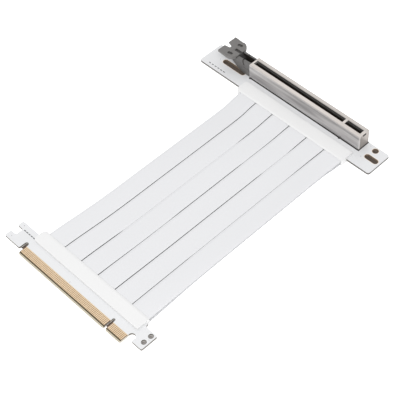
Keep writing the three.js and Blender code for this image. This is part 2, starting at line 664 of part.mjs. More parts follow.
/** Slot housing: openings, cells and blades in the body, and the pegs that locate it on the board. */
function slotHousing() {
  const openings = cardOpening(LONG_SLOT_END, -KEY_RIB_HALF).add(cardOpening(KEY_RIB_HALF, SHORT_SLOT_END));
  const cells = Manifold.union(CONTACTS.map(contactCell));
  const blades = Manifold.union(CONTACTS.flatMap((x) => [contactBlade(x, -1), contactBlade(x, 1)]));
  const pegs = PEG_PLACES.map((x) => uprightPin(
    x, SLOT_LINE, PEG_RADIUS, BOARD_BOTTOM - PEG_LENGTH, BOARD_TOP + CELL_FLOOR / 2,
  ));
  return housingBody().subtract(openings).subtract(cells).add(blades).add(Manifold.union(pegs));
}

/** Folded shield: shell, card windows, end notch, grooves of the folds and the tabs into the board. */
function slotShield() {
  const bottom = BOARD_TOP + SHIELD_STANDOFF;
  const top = BOARD_TOP + SLOT_HEIGHT;
  const hollow = shieldEnvelope(SHIELD_SHEET, bottom - 1)
    .add(shieldEnvelope(SHIELD_SHEET, bottom - 1).translate([-1, 0, 0]));
  const windowRange = [SLOT_LINE - SHIELD_WINDOW / 2, SLOT_LINE + SHIELD_WINDOW / 2];
  const windowLeft = LONG_SLOT_END - WINDOW_LEFT_OVERRUN;
  const windowRight = SHORT_SLOT_END + WINDOW_RIGHT_OVERRUN;
  const windows = [[windowLeft, -SHIELD_BRIDGE / 2], [SHIELD_BRIDGE / 2, windowRight]]
    .map((range) => block(range, windowRange, [top - 2 * SHIELD_SHEET, top + 1]));
  const seamRange = [top - SHIELD_SEAM_DROP - SHIELD_SEAM, top - SHIELD_SEAM_DROP];
  const seams = [-1, 1].map((side) => {
    const face = SLOT_LINE + side * SHIELD_WIDTH / 2;
    return block(
      [SHIELD_LEFT - 1, SHIELD_RIGHT - SHIELD_CORNER],
      [face - SHIELD_SEAM_DEPTH, face + SHIELD_SEAM_DEPTH],
      seamRange,
    );
  });
  const flaps = [-1, 1].map((side) => {
    const middle = SLOT_LINE + side * (SHIELD_WIDTH / 2 - FLAP_INSET);
    return block(
      [SHIELD_RIGHT - SHIELD_SEAM_DEPTH, SHIELD_RIGHT + 1],
      [middle - SHIELD_SEAM / 2, middle + SHIELD_SEAM / 2],
      [bottom - 1, top - SHIELD_SEAM_DROP - SHIELD_SEAM],
    );
  });
  const tabs = TAB_PLACES.flatMap((x) => [-1, 1].map((side) => {
    const middle = SLOT_LINE + side * (SHIELD_WIDTH - SHIELD_SHEET) / 2;
    return block(
      [x - TAB_WIDTH / 2, x + TAB_WIDTH / 2],
      [middle - SHIELD_SHEET / 2, middle + SHIELD_SHEET / 2],
      [BOARD_BOTTOM - TAB_LENGTH, bottom + SHIELD_SHEET],
    );
  }));
  return shieldEnvelope(0, bottom)
    .subtract(hollow)
    .subtract(Manifold.union([...windows, endNotch(), ...seams, ...flaps]))
    .add(Manifold.union(tabs));
}

/** Plan of the thumb plate: square tips with a tail notch between them, and one round rear. */
function thumbPlan(tip, rear) {
  const half = THUMB_WIDTH / 2;
  const mouth = TAIL_NOTCH_MOUTH / 2;
  const bottom = TAIL_NOTCH_BOTTOM / 2;
  return outline([
    [tip, SLOT_LINE - half, THUMB_THICKNESS / 3],
    [rear, SLOT_LINE - half, THUMB_REAR_CORNER],
    [rear, SLOT_LINE + half, THUMB_REAR_CORNER],
    [tip, SLOT_LINE + half, THUMB_THICKNESS / 3],
    [tip, SLOT_LINE + mouth, THUMB_THICKNESS / 3],
    [tip + TAIL_NOTCH_DEPTH, SLOT_LINE + bottom, bottom / 2],
    [tip + TAIL_NOTCH_DEPTH, SLOT_LINE - bottom, bottom / 2],
    [tip, SLOT_LINE - mouth, THUMB_THICKNESS / 3],
  ]);
}

/** Thumb plate: scooped behind its tips, thick in the rear lobes and cleared round the cheeks. */
function thumbPlate() {
  const top = BOARD_TOP + THUMB_TOP;
  const tip = PIVOT_X - THUMB_REACH;
  const rear = PIVOT_X - THUMB_REAR;
  const scoop = tip + SCOOP_PLACE;
  const side = outline([
    [tip, top - THUMB_THICKNESS, THUMB_THICKNESS / 3],
    [scoop, top - SCOOP_DEPTH - THUMB_THICKNESS],
    [rear, top - LOBE_THICKNESS, THUMB_THICKNESS / 3],
    [rear, top, THUMB_THICKNESS / 3],
    [scoop + SCOOP_RUN, top],
    [scoop, top - SCOOP_DEPTH],
    [tip, top, THUMB_THICKNESS / 3],
  ]);
  const swept = pivotPin(CHEEK_RADIUS + LATCH_RUNNING_GAP, CHEEK_HALF_WIDTH + LATCH_SIDE_GAP);
  return alongY(side, SLOT_LINE - THUMB_WIDTH / 2, SLOT_LINE + THUMB_WIDTH / 2)
    .intersect(upright(thumbPlan(tip, rear), top - LOBE_THICKNESS - 1, top + 1))
    .subtract(swept);
}

/** Shallow pockets in the top of the thumb plate: one over the spine and one in each lobe. */
function thumbPockets() {
  const top = BOARD_TOP + THUMB_TOP;
  const middle = block(
    [PIVOT_X - MIDDLE_POCKET_FRONT, PIVOT_X + THUMB_REAR],
    [SLOT_LINE - MIDDLE_POCKET_WIDTH / 2, SLOT_LINE + MIDDLE_POCKET_WIDTH / 2],
    [top - POCKET_DEPTH, top + 1],
  );
  const sides = [-1, 1].map((side) => {
    const centre = SLOT_LINE + side * SIDE_POCKET_INSET;
    const half = SIDE_POCKET_WIDTH / 2;
    const plan = rectangle(
      PIVOT_X - SIDE_POCKET_FRONT, PIVOT_X - SIDE_POCKET_BACK, centre - half, centre + half, half * 0.9,
    );
    return upright(plan, top - POCKET_DEPTH, top + 1);
  });
  return middle.add(Manifold.union(sides));
}

/** Retention latch: hub with trunnions, hook and ejector toe between the cheeks, and the thumb plate. */
function retentionLatch() {
  const pivotZ = BOARD_TOP + PIVOT_HEIGHT;
  const half = CHANNEL_WIDTH / 2 - LATCH_SIDE_GAP;
  const hookTop = BOARD_TOP + HOOK_TOP;
  const plateTop = BOARD_TOP + THUMB_TOP;
  const rear = PIVOT_X - THUMB_REAR;
  const arm = outline([
    [PIVOT_X - HUB_RADIUS, pivotZ],
    [PIVOT_X, pivotZ - HUB_RADIUS],
    [PIVOT_X + TOE_REACH, pivotZ - HUB_RADIUS, HUB_RADIUS / 6],
    [PIVOT_X + TOE_REACH, pivotZ - HUB_RADIUS + 1, HUB_RADIUS / 6],
    [PIVOT_X + HUB_RADIUS / 2, pivotZ - HUB_RADIUS / 3],
    [PIVOT_X + HOOK_NOSE / 3, hookTop - HOOK_DROP],
    [PIVOT_X + HOOK_NOSE, hookTop - HOOK_DROP],
    [PIVOT_X + HOOK_NOSE, hookTop - HOOK_DROP / 2, HUB_RADIUS / 6],
    [rear, hookTop + THUMB_THICKNESS],
    [rear, plateTop - THUMB_THICKNESS / 4],
    [PIVOT_X - SPINE_FRONT, plateTop - THUMB_THICKNESS / 4],
    [PIVOT_X - SPINE_FRONT, plateTop - THUMB_THICKNESS],
  ]);
  const spine = alongY(arm, SLOT_LINE - SPINE_HALF_WIDTH, SLOT_LINE + SPINE_HALF_WIDTH);
  return pivotPin(HUB_RADIUS, half)
    .add(spine)
    .add(thumbPlate())
    .subtract(thumbPockets())
    .add(pivotPin(TRUNNION_RADIUS, CHANNEL_WIDTH / 2 + TRUNNION_LENGTH - LATCH_SIDE_GAP));
}

/** Every piece of the riser, placed with the key on X = 0 and the boots' undersides on Z = 0. */
function riserPieces() {
  const slotBoardSide = SLOT_MOUTH + SLOT_BOOT_LENGTH;
  const pieces = [
    piece('plug_board', plugBoard(), boardWhite),
    piece('plug_boot_upper', upperBoot(PLUG_BOOT_FRONT, PLUG_BOARD_END, PLUG_MOUTH), bootWhite),
    piece('plug_boot_lower', lowerBoot(PLUG_BOOT_FRONT, PLUG_BOARD_END, PLUG_MOUTH), bootWhite),
    piece('slot_board', slotBoard(), boardWhite),
    piece('slot_boot_upper', upperBoot(slotBoardSide, SLOT_BOARD_FRONT, SLOT_MOUTH), bootWhite),
    piece('slot_boot_lower', lowerBoot(slotBoardSide, SLOT_BOARD_FRONT, SLOT_MOUTH), bootWhite),
    piece('slot_housing', slotHousing(), housingGrey),
    piece('slot_shield', slotShield(), shieldSteel),
    piece('retention_latch', retentionLatch(), latchGrey),
  ];
  const layers = [['upper', 1], ['lower', -1]];
  for (const [layerName, layer] of layers) {
    for (let index = 0; index < RIBBON_COUNT; index += 1) {
      pieces.push(piece(`ribbon_${layerName}_${index + 1}`, ribbon(index, layer), ribbonWhite));
    }
  }
  return pieces;
}

const riser = new THREE.Group();
riser.add(...riserPieces());
const reach = new THREE.Box3().setFromObject(riser);
riser.position.set(-(reach.min.x + reach.max.x) / 2, -(reach.min.y + reach.max.y) / 2, -reach.min.z);

export default riser;
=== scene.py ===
"""Looks of a sixteen-lane graphics card riser: white boards, flat ribbons and a shielded slot.

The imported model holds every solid. This script dresses the solids, makes the ribbons, the
contact leaves, the solder joints and the printed ticks, and sets the camera, the floor and the
studio light.
Sizes in the classes are millimetres from the datum: the middle of the key notch, the start of the
tongue's bevel and the surface that the riser lies on.
"""

import logging
import math
from dataclasses import dataclass, field
from enum import Enum
from typing import Any, Iterable, Sequence, Union

import bpy
import numpy as np
from mathutils import Matrix, Vector


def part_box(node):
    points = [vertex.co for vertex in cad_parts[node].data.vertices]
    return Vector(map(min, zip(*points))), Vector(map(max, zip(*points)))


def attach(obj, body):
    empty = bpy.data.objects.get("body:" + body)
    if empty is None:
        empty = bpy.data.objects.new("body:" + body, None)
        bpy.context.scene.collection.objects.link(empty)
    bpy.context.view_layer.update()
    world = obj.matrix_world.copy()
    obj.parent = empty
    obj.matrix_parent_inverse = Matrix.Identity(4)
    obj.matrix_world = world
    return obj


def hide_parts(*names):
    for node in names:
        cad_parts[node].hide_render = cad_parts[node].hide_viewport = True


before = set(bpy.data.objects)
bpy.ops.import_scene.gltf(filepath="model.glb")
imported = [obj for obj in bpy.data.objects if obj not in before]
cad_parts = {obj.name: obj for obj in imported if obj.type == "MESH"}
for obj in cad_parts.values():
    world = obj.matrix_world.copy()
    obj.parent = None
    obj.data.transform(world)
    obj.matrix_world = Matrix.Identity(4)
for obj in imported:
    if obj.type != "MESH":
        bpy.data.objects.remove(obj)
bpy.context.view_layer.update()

RISER = "riser"
MM = 0.001

LEFT_EAR_TO_KEY = 88.2
TIP_TO_BEVEL = 1.2
BOARD_THICKNESS = 1.6
CONTACT_PITCH = 1.0
LONG_CONTACTS = 71
SHORT_CONTACTS = 11
LONG_MIDDLE = -36.775
SHORT_MIDDLE = 6.775

log = logging.getLogger("riser")
Colour = tuple[float, float, float]
Number = Union[int, float]
Shape = tuple[np.ndarray, list[np.ndarray]]


class Layer(Enum):
    """Layers of the cable, with the side of the boards that each is soldered to."""

    UPPER = 1
    LOWER = -1


class Datum:
    """Place of the riser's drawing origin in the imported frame."""

    def __init__(self) -> None:
        """Finds the datum from the plug board's own box."""
        low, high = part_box("plug_board")
        plating = ((high.z - low.z) / MM - BOARD_THICKNESS) / 2
        self.origin = np.array([low.x + LEFT_EAR_TO_KEY * MM, low.y + TIP_TO_BEVEL * MM, 0.0])
        self.board_bottom = low.z / MM + plating
        self.board_top = high.z / MM - plating
        self.middle = (self.board_bottom + self.board_top) / 2

    def place(self, points: np.ndarray) -> np.ndarray:
        """Drawing millimetres turned into metres of the frame."""
        return np.asarray(points, float) * MM + self.origin

    def plan_box(self, node: str) -> tuple[tuple[float, float], tuple[float, float]]:
        """Low and high corner of a node's box in plan.

        Args:
            node: Name of the node.

        Returns:
            X and Y of each corner, in drawing millimetres.
        """
        return tuple(
            ((corner.x - self.origin[0]) / MM, (corner.y - self.origin[1]) / MM)
            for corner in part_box(node)
        )

    def top(self, node: str) -> float:
        """Height of a node's top, in millimetres."""
        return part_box(node)[1].z / MM

    def slot_line(self) -> float:
        """Y of the slot's middle, in drawing millimetres."""
        (_, near), (_, far) = self.plan_box("slot_shield")
        return (near + far) / 2

    def point(self, x: Number, y: Number, z: Number) -> Vector:
        """One drawing point as a vector in the frame."""
        return Vector(self.place(np.array([x, y, z], float)))


DATUM = Datum()


def contact_places() -> np.ndarray:
    """X of every contact: two even rows, one each side of the key.

    Returns:
        The places, in drawing millimetres.
    """
    steps = (np.arange(LONG_CONTACTS) - (LONG_CONTACTS - 1) / 2) * CONTACT_PITCH
    short_steps = (np.arange(SHORT_CONTACTS) - (SHORT_CONTACTS - 1) / 2) * CONTACT_PITCH
    return np.concatenate([LONG_MIDDLE + steps, SHORT_MIDDLE + short_steps])


class Signal:
    """A number that travels through a material: a socket, or an expression on sockets."""

    def __init__(self, sheet: "Sheet", socket: Any) -> None:
        """Keeps the socket and the sheet that new nodes are added to."""
        self.sheet = sheet
        self.socket = socket

    def _math(self, operation: str, *others: Union["Signal", Number]) -> "Signal":
        """Adds one Math node.

        Args:
            operation: Name of the Math node's operation.
            others: The operands after this one.

        Returns:
            The node's result.
        """
        values = dict(enumerate((self, *others)))
        return self.sheet.node("ShaderNodeMath", {"operation": operation}, values)

    def __add__(self, other: Union["Signal", Number]) -> "Signal":
        """Sum."""
        return self._math("ADD", other)

    __radd__ = __add__

    def __mul__(self, other: Union["Signal", Number]) -> "Signal":
        """Product."""
        return self._math("MULTIPLY", other)

    __rmul__ = __mul__

    def __sub__(self, other: Union["Signal", Number]) -> "Signal":
        """Difference."""
        return self._math("SUBTRACT", other)

    def __rsub__(self, other: Number) -> "Signal":
        """Number less this signal."""
        return self.sheet.node("ShaderNodeMath", {"operation": "SUBTRACT"}, {0: other, 1: self})

    def __truediv__(self, other: Union["Signal", Number]) -> "Signal":
        """Quotient."""
        return self._math("DIVIDE", other)

    def distance(self, other: Number) -> "Signal":
        """Distance of this signal from a number."""
        return (self - other).size()

    def size(self) -> "Signal":
        """This signal without its sign."""
        return self._math("ABSOLUTE")

    def fraction(self) -> "Signal":
        """Part after the point, which repeats a pattern at every whole number."""
        return self._math("FRACT")

    def root(self) -> "Signal":
        """Square root."""
        return self._math("SQRT")

    def greater(self, other: Union["Signal", Number]) -> "Signal":
        """Greater of the two."""
        return self._math("MAXIMUM", other)

    def rise(self, start: Number, end: Number) -> "Signal":
        """Smooth step from 0 at start to 1 at end, either way round."""
        mapped = {"Value": self, "From Min": start, "From Max": end, "To Min": 0.0, "To Max": 1.0}
        return self.sheet.node("ShaderNodeMapRange", {"interpolation_type": "SMOOTHSTEP"}, mapped)

    def within(self, low: Number, high: Number, soft: Number) -> "Signal":
        """1 between low and high, falling to 0 over the soft width on both sides."""
        return self.above(low, soft) * self.below(high, soft)

    def above(self, limit: Number, soft: Number) -> "Signal":
        """1 above the limit, falling to 0 over the soft width about it."""
        return self.rise(limit - soft / 2, limit + soft / 2)

    def below(self, limit: Number, soft: Number) -> "Signal":
        """1 below the limit, falling to 0 over the soft width about it."""
        return self.rise(limit + soft / 2, limit - soft / 2)


class Sheet:
    """Node sheet of one material."""

    def __init__(self, name: str) -> None:
        """Starts an empty material.

        Args:
            name: Name of the material.
        """
        self.material = bpy.data.materials.new(name)
        self.material.use_nodes = True
        self.tree = self.material.node_tree
        self.tree.nodes.clear()

    def node(
        self, kind: str, settings: dict[str, Any], inputs: dict[Any, Any], output: Any = 0,
    ) -> Signal:
        """Adds a node.

        Args:
            kind: Node type.
            settings: Attributes of the node, set before its sockets.
            inputs: Values or signals by socket name or index.
            output: Name or index of the socket to return.

        Returns:
            The chosen output.
        """
        added = self.tree.nodes.new(kind)
        for key, value in settings.items():
            setattr(added, key, value)
        for key, value in inputs.items():
            if isinstance(value, Signal):
                self.tree.links.new(value.socket, added.inputs[key])
            else:
                added.inputs[key].default_value = value
        return Signal(self, added.outputs[output])

    def object_place(self) -> Signal:
        """Object coordinates, which are the frame's metres."""
        return self.node("ShaderNodeTexCoord", {}, {}, "Object")

    def drawing_axes(self) -> tuple[Signal, Signal, Signal]:
        """Place on the surface, from the drawing's origin.

        Returns:
            X, Y and Z in drawing millimetres.
        """
        place = self.object_place()
        split = self.tree.nodes.new("ShaderNodeSeparateXYZ")
        self.tree.links.new(place.socket, split.inputs[0])
        axes = [Signal(self, split.outputs[index]) for index in range(3)]
        return tuple((axis - float(start)) / MM for axis, start in zip(axes, DATUM.origin))

    def facing(self, axis: int) -> Signal:
        """How far the surface faces along an axis, either way.

        Args:
            axis: 0, 1 or 2 for X, Y or Z.

        Returns:
            1 where the surface is square to the axis, and 0 where it runs along it.
        """
        normal = self.node("ShaderNodeTexCoord", {}, {}, "Normal")
        split = self.tree.nodes.new("ShaderNodeSeparateXYZ")
        self.tree.links.new(normal.socket, split.inputs[0])
        return Signal(self, split.outputs[axis]).size()

    def attribute(self, name: str) -> Signal:
        """Number stored on the mesh's points under that name."""
        return self.node("ShaderNodeAttribute", {"attribute_name": name}, {}, "Fac")

    def noise(
        self, scale: Number, detail: Number = 3.0, stretch: Sequence[float] = (1, 1, 1),
    ) -> Signal:
        """Noise on object coordinates.

        Args:
            scale: Repeats in a metre.
            detail: Octaves.
            stretch: Scale of each axis, small along a streak.

        Returns:
            The noise, about 0.5 on the mean.
        """
        stretched = {"Vector": self.object_place(), "Scale": tuple(stretch)}
        place = self.node("ShaderNodeMapping", {}, stretched)
        sockets = {"Vector": place, "Scale": scale, "Detail": detail}
        return self.node("ShaderNodeTexNoise", {}, sockets, "Fac")

    def blend(self, mask: Union[Signal, Number], low: Any, high: Any) -> Signal:
        """Colour that goes from low to high as the mask goes from 0 to 1."""
        colours = {"Factor": mask, 6: opaque(low), 7: opaque(high)}
        return self.node("ShaderNodeMix", {"data_type": "RGBA"}, colours, 2)

    def bump(self, height: Signal, distance: Number, strength: Number = 1.0) -> Signal:
        """Normal of a relief whose height runs from 0 to 1 over the distance in metres."""
        sockets = {"Height": height, "Distance": distance, "Strength": strength}
        return self.node("ShaderNodeBump", {}, sockets)

    def finish(self, **sockets: Any) -> bpy.types.Material:
        """Puts a Principled shader on the sheet's output.

        Args:
            sockets: Values and signals by socket name, with underscores for spaces.

        Returns:
            The finished material.
        """
        named = {key.replace("_", " "): value for key, value in sockets.items()}
        shader = self.node("ShaderNodeBsdfPrincipled", {}, named)
        self.node_output(shader)
        return self.material

    def node_output(self, shader: Signal) -> None:
        """Links a shader to the material's output."""
        output = self.tree.nodes.new("ShaderNodeOutputMaterial")
        self.tree.links.new(shader.socket, output.inputs["Surface"])


def opaque(colour: Any) -> Any:
    """A colour with its alpha added, or a signal left as it is."""
    return colour if isinstance(colour, Signal) else (*colour, 1.0)


@dataclass(frozen=True)
class SolderMask:
    """White solder mask over laminate, with bare laminate on cut edges and round openings.

    Each opening is a long hole: X and Y of its middle, half its straight part, and its radius.
    """

    name: str = "white_solder_mask"
    mask: Colour = (0.70, 0.705, 0.715)
    shade: Colour = (0.645, 0.65, 0.66)
    laminate: Colour = (0.075, 0.07, 0.065)
    laminate_light: Colour = (0.11, 0.10, 0.095)
    lower_edge: Colour = (0.60, 0.58, 0.56)
    lower_edge_height: float = 0.4
    foot_shadow: Colour = (0.012, 0.011, 0.010)
    bore: Colour = (0.22, 0.165, 0.12)
    bore_width: float = 0.45
    rim: Colour = (0.80, 0.70, 0.61)
    rim_width: float = 0.3
    tab_inset: float = 0.95
    tab_half: float = 0.65
    tab_reach: float = 1.0
    roughness: float = 0.34
    openings: tuple[tuple[float, float, float, float], ...] = (
        (-88.2, 187.1, 7.5, 1.9), (24.9, 187.1, 2.9, 1.9), (22.6, 193.5, 0.0, 2.0),
    )

    @staticmethod
    def outside(x: Signal, y: Signal, opening: tuple[float, float, float, float]) -> Signal:
        """Distance outside a long hole with round ends.

        Args:
            x: X in drawing millimetres.
            y: Y in drawing millimetres.
            opening: Middle, half length of the straight part, and radius.

        Returns:
            The distance from the hole's edge, negative inside it.
        """
        middle_x, middle_y, straight, radius = opening
        along = (x.distance(middle_x) - straight).greater(0.0)
        across = y.distance(middle_y)
        return (along * along + across * across).root() - radius

    def shield_foot_shadow(self, x: Signal, y: Signal) -> Signal:
        """Painted shadow in the gap at the shield's foot, with a wider spot at two tabs on its
        near side.

        Args:
            x: X in drawing millimetres.
            y: Y in drawing millimetres.

        Returns:
            The gap's mask.
        """
        (x0, y0), (x1, y1) = DATUM.plan_box("slot_shield")
        foot = x.within(x0 - 0.1, x1 + 0.35, 0.2) * y.within(y0 - 0.5, y1 + 0.2, 0.2)
        key_tab = x.distance(0.0).below(self.tab_half, 0.3)
        left_tab = x.distance(x0 + self.tab_inset).below(self.tab_half, 0.3)
        tabs = key_tab.greater(left_tab) * y.within(y0 - self.tab_reach, y0 + self.tab_reach, 0.3)
        return foot.greater(tabs)

    def surface(self, sheet: Sheet) -> tuple[Signal, Signal, Signal, Signal]:
        """Colour, roughness, height and levelness of the mask, with copper traces under it.

        Args:
            sheet: Sheet of the material.

        Returns:
            The colour, the roughness, the height and the levelness.
        """
        x, y, z = sheet.drawing_axes()
        level = sheet.facing(2).rise(0.55, 0.8)
        cloud = sheet.noise(90.0, 2.0)
        traces = (x * 0.9 + y * 0.35 * sheet.noise(25.0, 0.0)).fraction().within(0.25, 0.6, 0.12)
        skin = sheet.blend(cloud * 0.35 + traces * 0.12, self.mask, self.shade)
        weave = sheet.noise(900.0, 2.0, (1, 1, 8))
        edge = sheet.blend(weave, self.laminate, self.laminate_light)
        lower = z.below(DATUM.board_bottom + self.lower_edge_height, 0.2)
        edge = sheet.blend(lower, edge, self.lower_edge)
        for opening in self.openings:
            gap = self.outside(x, y, opening)
            edge = sheet.blend(gap.below(self.bore_width, 0.3), edge, self.bore)
            skin = sheet.blend(gap.below(self.rim_width, 0.1), skin, self.rim)
        dressed = sheet.blend(level, edge, skin)
        # Painted shadow: near black on the board along the shield's foot and at its tabs.
        colour = sheet.blend(self.shield_foot_shadow(x, y), dressed, self.foot_shadow)
        roughness = self.roughness + (1 - level) * 0.4 + cloud * 0.08
        height = traces * 0.5 + sheet.noise(2500.0, 2.0) * 0.12
        return colour, roughness, height, level

    def build(self) -> bpy.types.Material:
        """Finishes a plain board.

        Returns:
            The board's material.
        """
        sheet = Sheet(self.name)
        colour, roughness, height, _ = self.surface(sheet)
        normal = sheet.bump(height, 0.00002)
        return sheet.finish(
            Base_Color=colour, Roughness=roughness, Normal=normal, Coat_Weight=0.12,
        )


@dataclass(frozen=True)
class GoldEdge:
    """The plug board's finish: mask that stops short of the tongue, gold fingers on laminate."""

    name: str = "gold_fingered_board"
    base: SolderMask = SolderMask(
        laminate=(0.13, 0.12, 0.105), laminate_light=(0.20, 0.185, 0.16),
    )
    gold: Colour = (0.80, 0.63, 0.44)
    gold_deep: Colour = (0.68, 0.51, 0.32)
    bare: Colour = (0.17, 0.09, 0.05)
    border: Colour = (0.72, 0.62, 0.48)
    flank: Colour = (0.56, 0.53, 0.46)
    bevel: Colour = (0.47, 0.43, 0.34)
    bevel_edge: Colour = (0.06, 0.04, 0.01)
    bevel_edge_band: tuple[float, float] = (-0.5, 0.27)
    finger_width: float = 0.7
    finger_start: float = 0.25
    finger_end: float = 4.65
    mask_start: float = 4.95
    long_half: float = 35.4
    short_half: float = 5.4
    shoulder: float = 0.45

    def fingers(self, x: Signal, y: Signal) -> Signal:
        """Where the fingers are: near a whole contact step and inside the gold band.

        Args:
            x: X in drawing millimetres.
            y: Y in drawing millimetres.

        Returns:
            The fingers' mask.
        """
        step = ((x - LONG_MIDDLE) / CONTACT_PITCH + 0.5).fraction().distance(0.5)
        short_step = ((x - SHORT_MIDDLE) / CONTACT_PITCH + 0.5).fraction().distance(0.5)
        right = x.above(0.0, 0.2)
        across = step * (1 - right) + short_step * right
        inside = across.below(self.finger_width / 2 + 0.02, 0.02)
        band = y.within(self.finger_start - 0.02, self.finger_end + 0.02, 0.02)
        long_row = x.within(LONG_MIDDLE - self.long_half, LONG_MIDDLE + self.long_half, 0.01)
        short_row = x.within(SHORT_MIDDLE - self.short_half, SHORT_MIDDLE + self.short_half, 0.01)
        return inside * band * (long_row + short_row)

    def build(self) -> bpy.types.Material:
        """Finishes the plug board.

        Returns:
            The plug board's material.
        """
        sheet = Sheet(self.name)
        colour, roughness, height, level = self.base.surface(sheet)
        x, y, _ = sheet.drawing_axes()
        left = LONG_MIDDLE - self.long_half - self.shoulder
        right = SHORT_MIDDLE + self.short_half + self.shoulder
        tongue = x.within(left, right, 0.1)
        bare = y.below(self.mask_start, 0.1) * tongue * level
        bevel = y.below(0.0, 0.1) * tongue
        bevel_edge = y.within(*self.bevel_edge_band, 0.1) * tongue
        flank = x.within(right - 0.15, right + 0.35, 0.1) * y.below(self.mask_start + 0.45, 0.4)
        border = y.within(self.finger_end, self.mask_start, 0.1) * tongue
        finger = self.fingers(x, y) * level
        wear = sheet.noise(700.0, 3.0, (1, 0.12, 1))
        colour = sheet.blend(bare, colour, self.bare)
        colour = sheet.blend(bevel, colour, self.bevel)
        # The dark line at the bevel's start is the cut copper edge, with painted shade on it.
        colour = sheet.blend(bevel_edge, colour, self.bevel_edge)
        colour = sheet.blend(flank * (1 - level), colour, self.flank)
        colour = sheet.blend(border, colour, self.border)
        colour = sheet.blend(finger, colour, sheet.blend(wear, self.gold, self.gold_deep))
        rough = roughness * (1 - finger) + finger * (0.22 + wear * 0.16) + bevel * 0.2
        normal = sheet.bump(height * (1 - finger) + wear * finger * 0.3, 0.00002)
        return sheet.finish(
            Base_Color=colour, Roughness=rough, Metallic=finger, Normal=normal,
            Coat_Weight=0.1 * level,
        )


@dataclass(frozen=True)
class Moulding:
    """Moulded plastic with a fine spark texture, slightly polished by handling."""

    name: str
    colour: Colour
    shade: Colour
    roughness: float
    grain: float = 0.000012
    coat: float = 0.05

    def build(self) -> bpy.types.Material:
        """Finishes the moulding.

        Returns:
            The moulding's material.
        """
        sheet = Sheet(self.name)
        cloud = sheet.noise(60.0, 3.0)
        spark = sheet.noise(3200.0, 2.0)
        colour = sheet.blend(cloud * 0.7 + spark * 0.3, self.colour, self.shade)
        colour = self.darkened(sheet, colour)
        roughness = self.roughness + spark * 0.12 + cloud * 0.06
        normal = sheet.bump(spark, self.grain)
        return sheet.finish(
            Base_Color=colour, Roughness=roughness, Normal=normal, Coat_Weight=self.coat,
        )

    def darkened(self, sheet: Sheet, colour: Signal) -> Signal:
        """The colour as it is: a plain moulding has no deep places."""
        return colour


@dataclass(frozen=True)
class LatchMoulding(Moulding):
    """Moulding of the latch. Places along it are from its tip, and depths from its top."""

    dark: Colour = (0.02, 0.018, 0.017)
    pocket_across: tuple[float, float] = (3.4, 5.8)
    pocket_along: tuple[float, float] = (5.4, 9.9)
    pocket_depth: float = 0.575
    hook_half: float = 1.2
    hook_along: tuple[float, float] = (7.6, 13.4)
    hub_half: float = 2.1
    hub_start: float = 12.9
    hub_depth: float = 0.35
    shallow: float = 0.75

    def darkened(self, sheet: Sheet, colour: Signal) -> Signal:
        """Makes the latch's pockets, hook and hub dark, as they lie in shade.

        Args:
            sheet: Sheet of the material.
            colour: The moulding's own colour.

        Returns:
            The darkened colour.
        """
        x, y, z = sheet.drawing_axes()
        (tip, _), _ = DATUM.plan_box("retention_latch")
        along = x - tip
        off = y.distance(DATUM.slot_line())
        depth = DATUM.top("retention_latch") - z
        pockets = off.within(*self.pocket_across, 0.5) * along.within(*self.pocket_along, 0.8)
        hook = off.below(self.hook_half, 0.4) * along.within(*self.hook_along, 0.8)
        hub = off.below(self.hub_half, 0.2) * along.above(self.hub_start, 0.4)
        sunk = pockets.greater(hook) * depth.above(self.pocket_depth, 0.25) * self.shallow
        return sheet.blend(sunk.greater(hub * depth.above(self.hub_depth, 0.3)), colour, self.dark)


@dataclass(frozen=True)
class HousingMoulding(Moulding):
    """Moulding of the slot's housing. Depths are from the shield's top."""

    dark: Colour = (0.022, 0.018, 0.015)
    opening_half: float = 1.9
    opening_depth: float = 0.45
    lit_depth: tuple[float, float] = (0.5, 1.5)
    lit_across: tuple[float, float] = (0.9, 1.35)
    lit_share: float = 0.85
    foot_height: float = 0.8
    channel_half: float = 2.15
    channel_depth: tuple[float, float] = (0.9, 2.0)
    notch_start: float = 1.7
    cut_place: float = 5.15
    cut_foot: float = 4.4
    cut_rise: float = 4.8
    cut_run: float = 2.2
    cut_half: float = 0.45

    def darkened(self, sheet: Sheet, colour: Signal) -> Signal:
        """Paints shade on the card opening, the foot, the cheeks' channel, their cuts and the end
        notch.

        Args:
            sheet: Sheet of the material.
            colour: The moulding's own colour.

        Returns:
            The darkened colour.
        """
        x, y, z = sheet.drawing_axes()
        (left, _), (right, _) = DATUM.plan_box("slot_shield")
        middle = DATUM.slot_line()
        off = y.distance(middle)
        depth = DATUM.top("slot_shield") - z
        opening = off.below(self.opening_half, 0.1) * depth.above(self.opening_depth, 0.2)
        opening = opening * x.above(left - 0.15, 0.3)
        # Painted light: a band of the opening's far wall is lifted out of the painted shade.
        lit = depth.within(*self.lit_depth, 0.15) * off.within(*self.lit_across, 0.1)
        lit = lit * y.above(middle + 0.1, 0.2)
        foot = z.below(DATUM.board_top + self.foot_height, 0.4) * x.above(left, 0.2)
        channel = off.below(self.channel_half, 0.1) * depth.rise(*self.channel_depth)
        channel = channel * x.below(left - 0.2, 0.2)
        notch = x.above(right - self.notch_start, 0.2)
        climb = (self.cut_foot - depth) * (1 / self.cut_rise)
        cut = (x - (left - self.cut_place) + climb * self.cut_run).size().below(self.cut_half, 0.2)
        cut = cut * climb.above(0.025, 0.05) * x.below(left - 0.1, 0.2)
        # Painted shade: opening, foot, channel, end notch and cuts are made near black.
        deep = opening.greater(foot).greater(channel).greater(notch).greater(cut)
        return sheet.blend(deep * (1 - lit * self.lit_share), colour, self.dark)


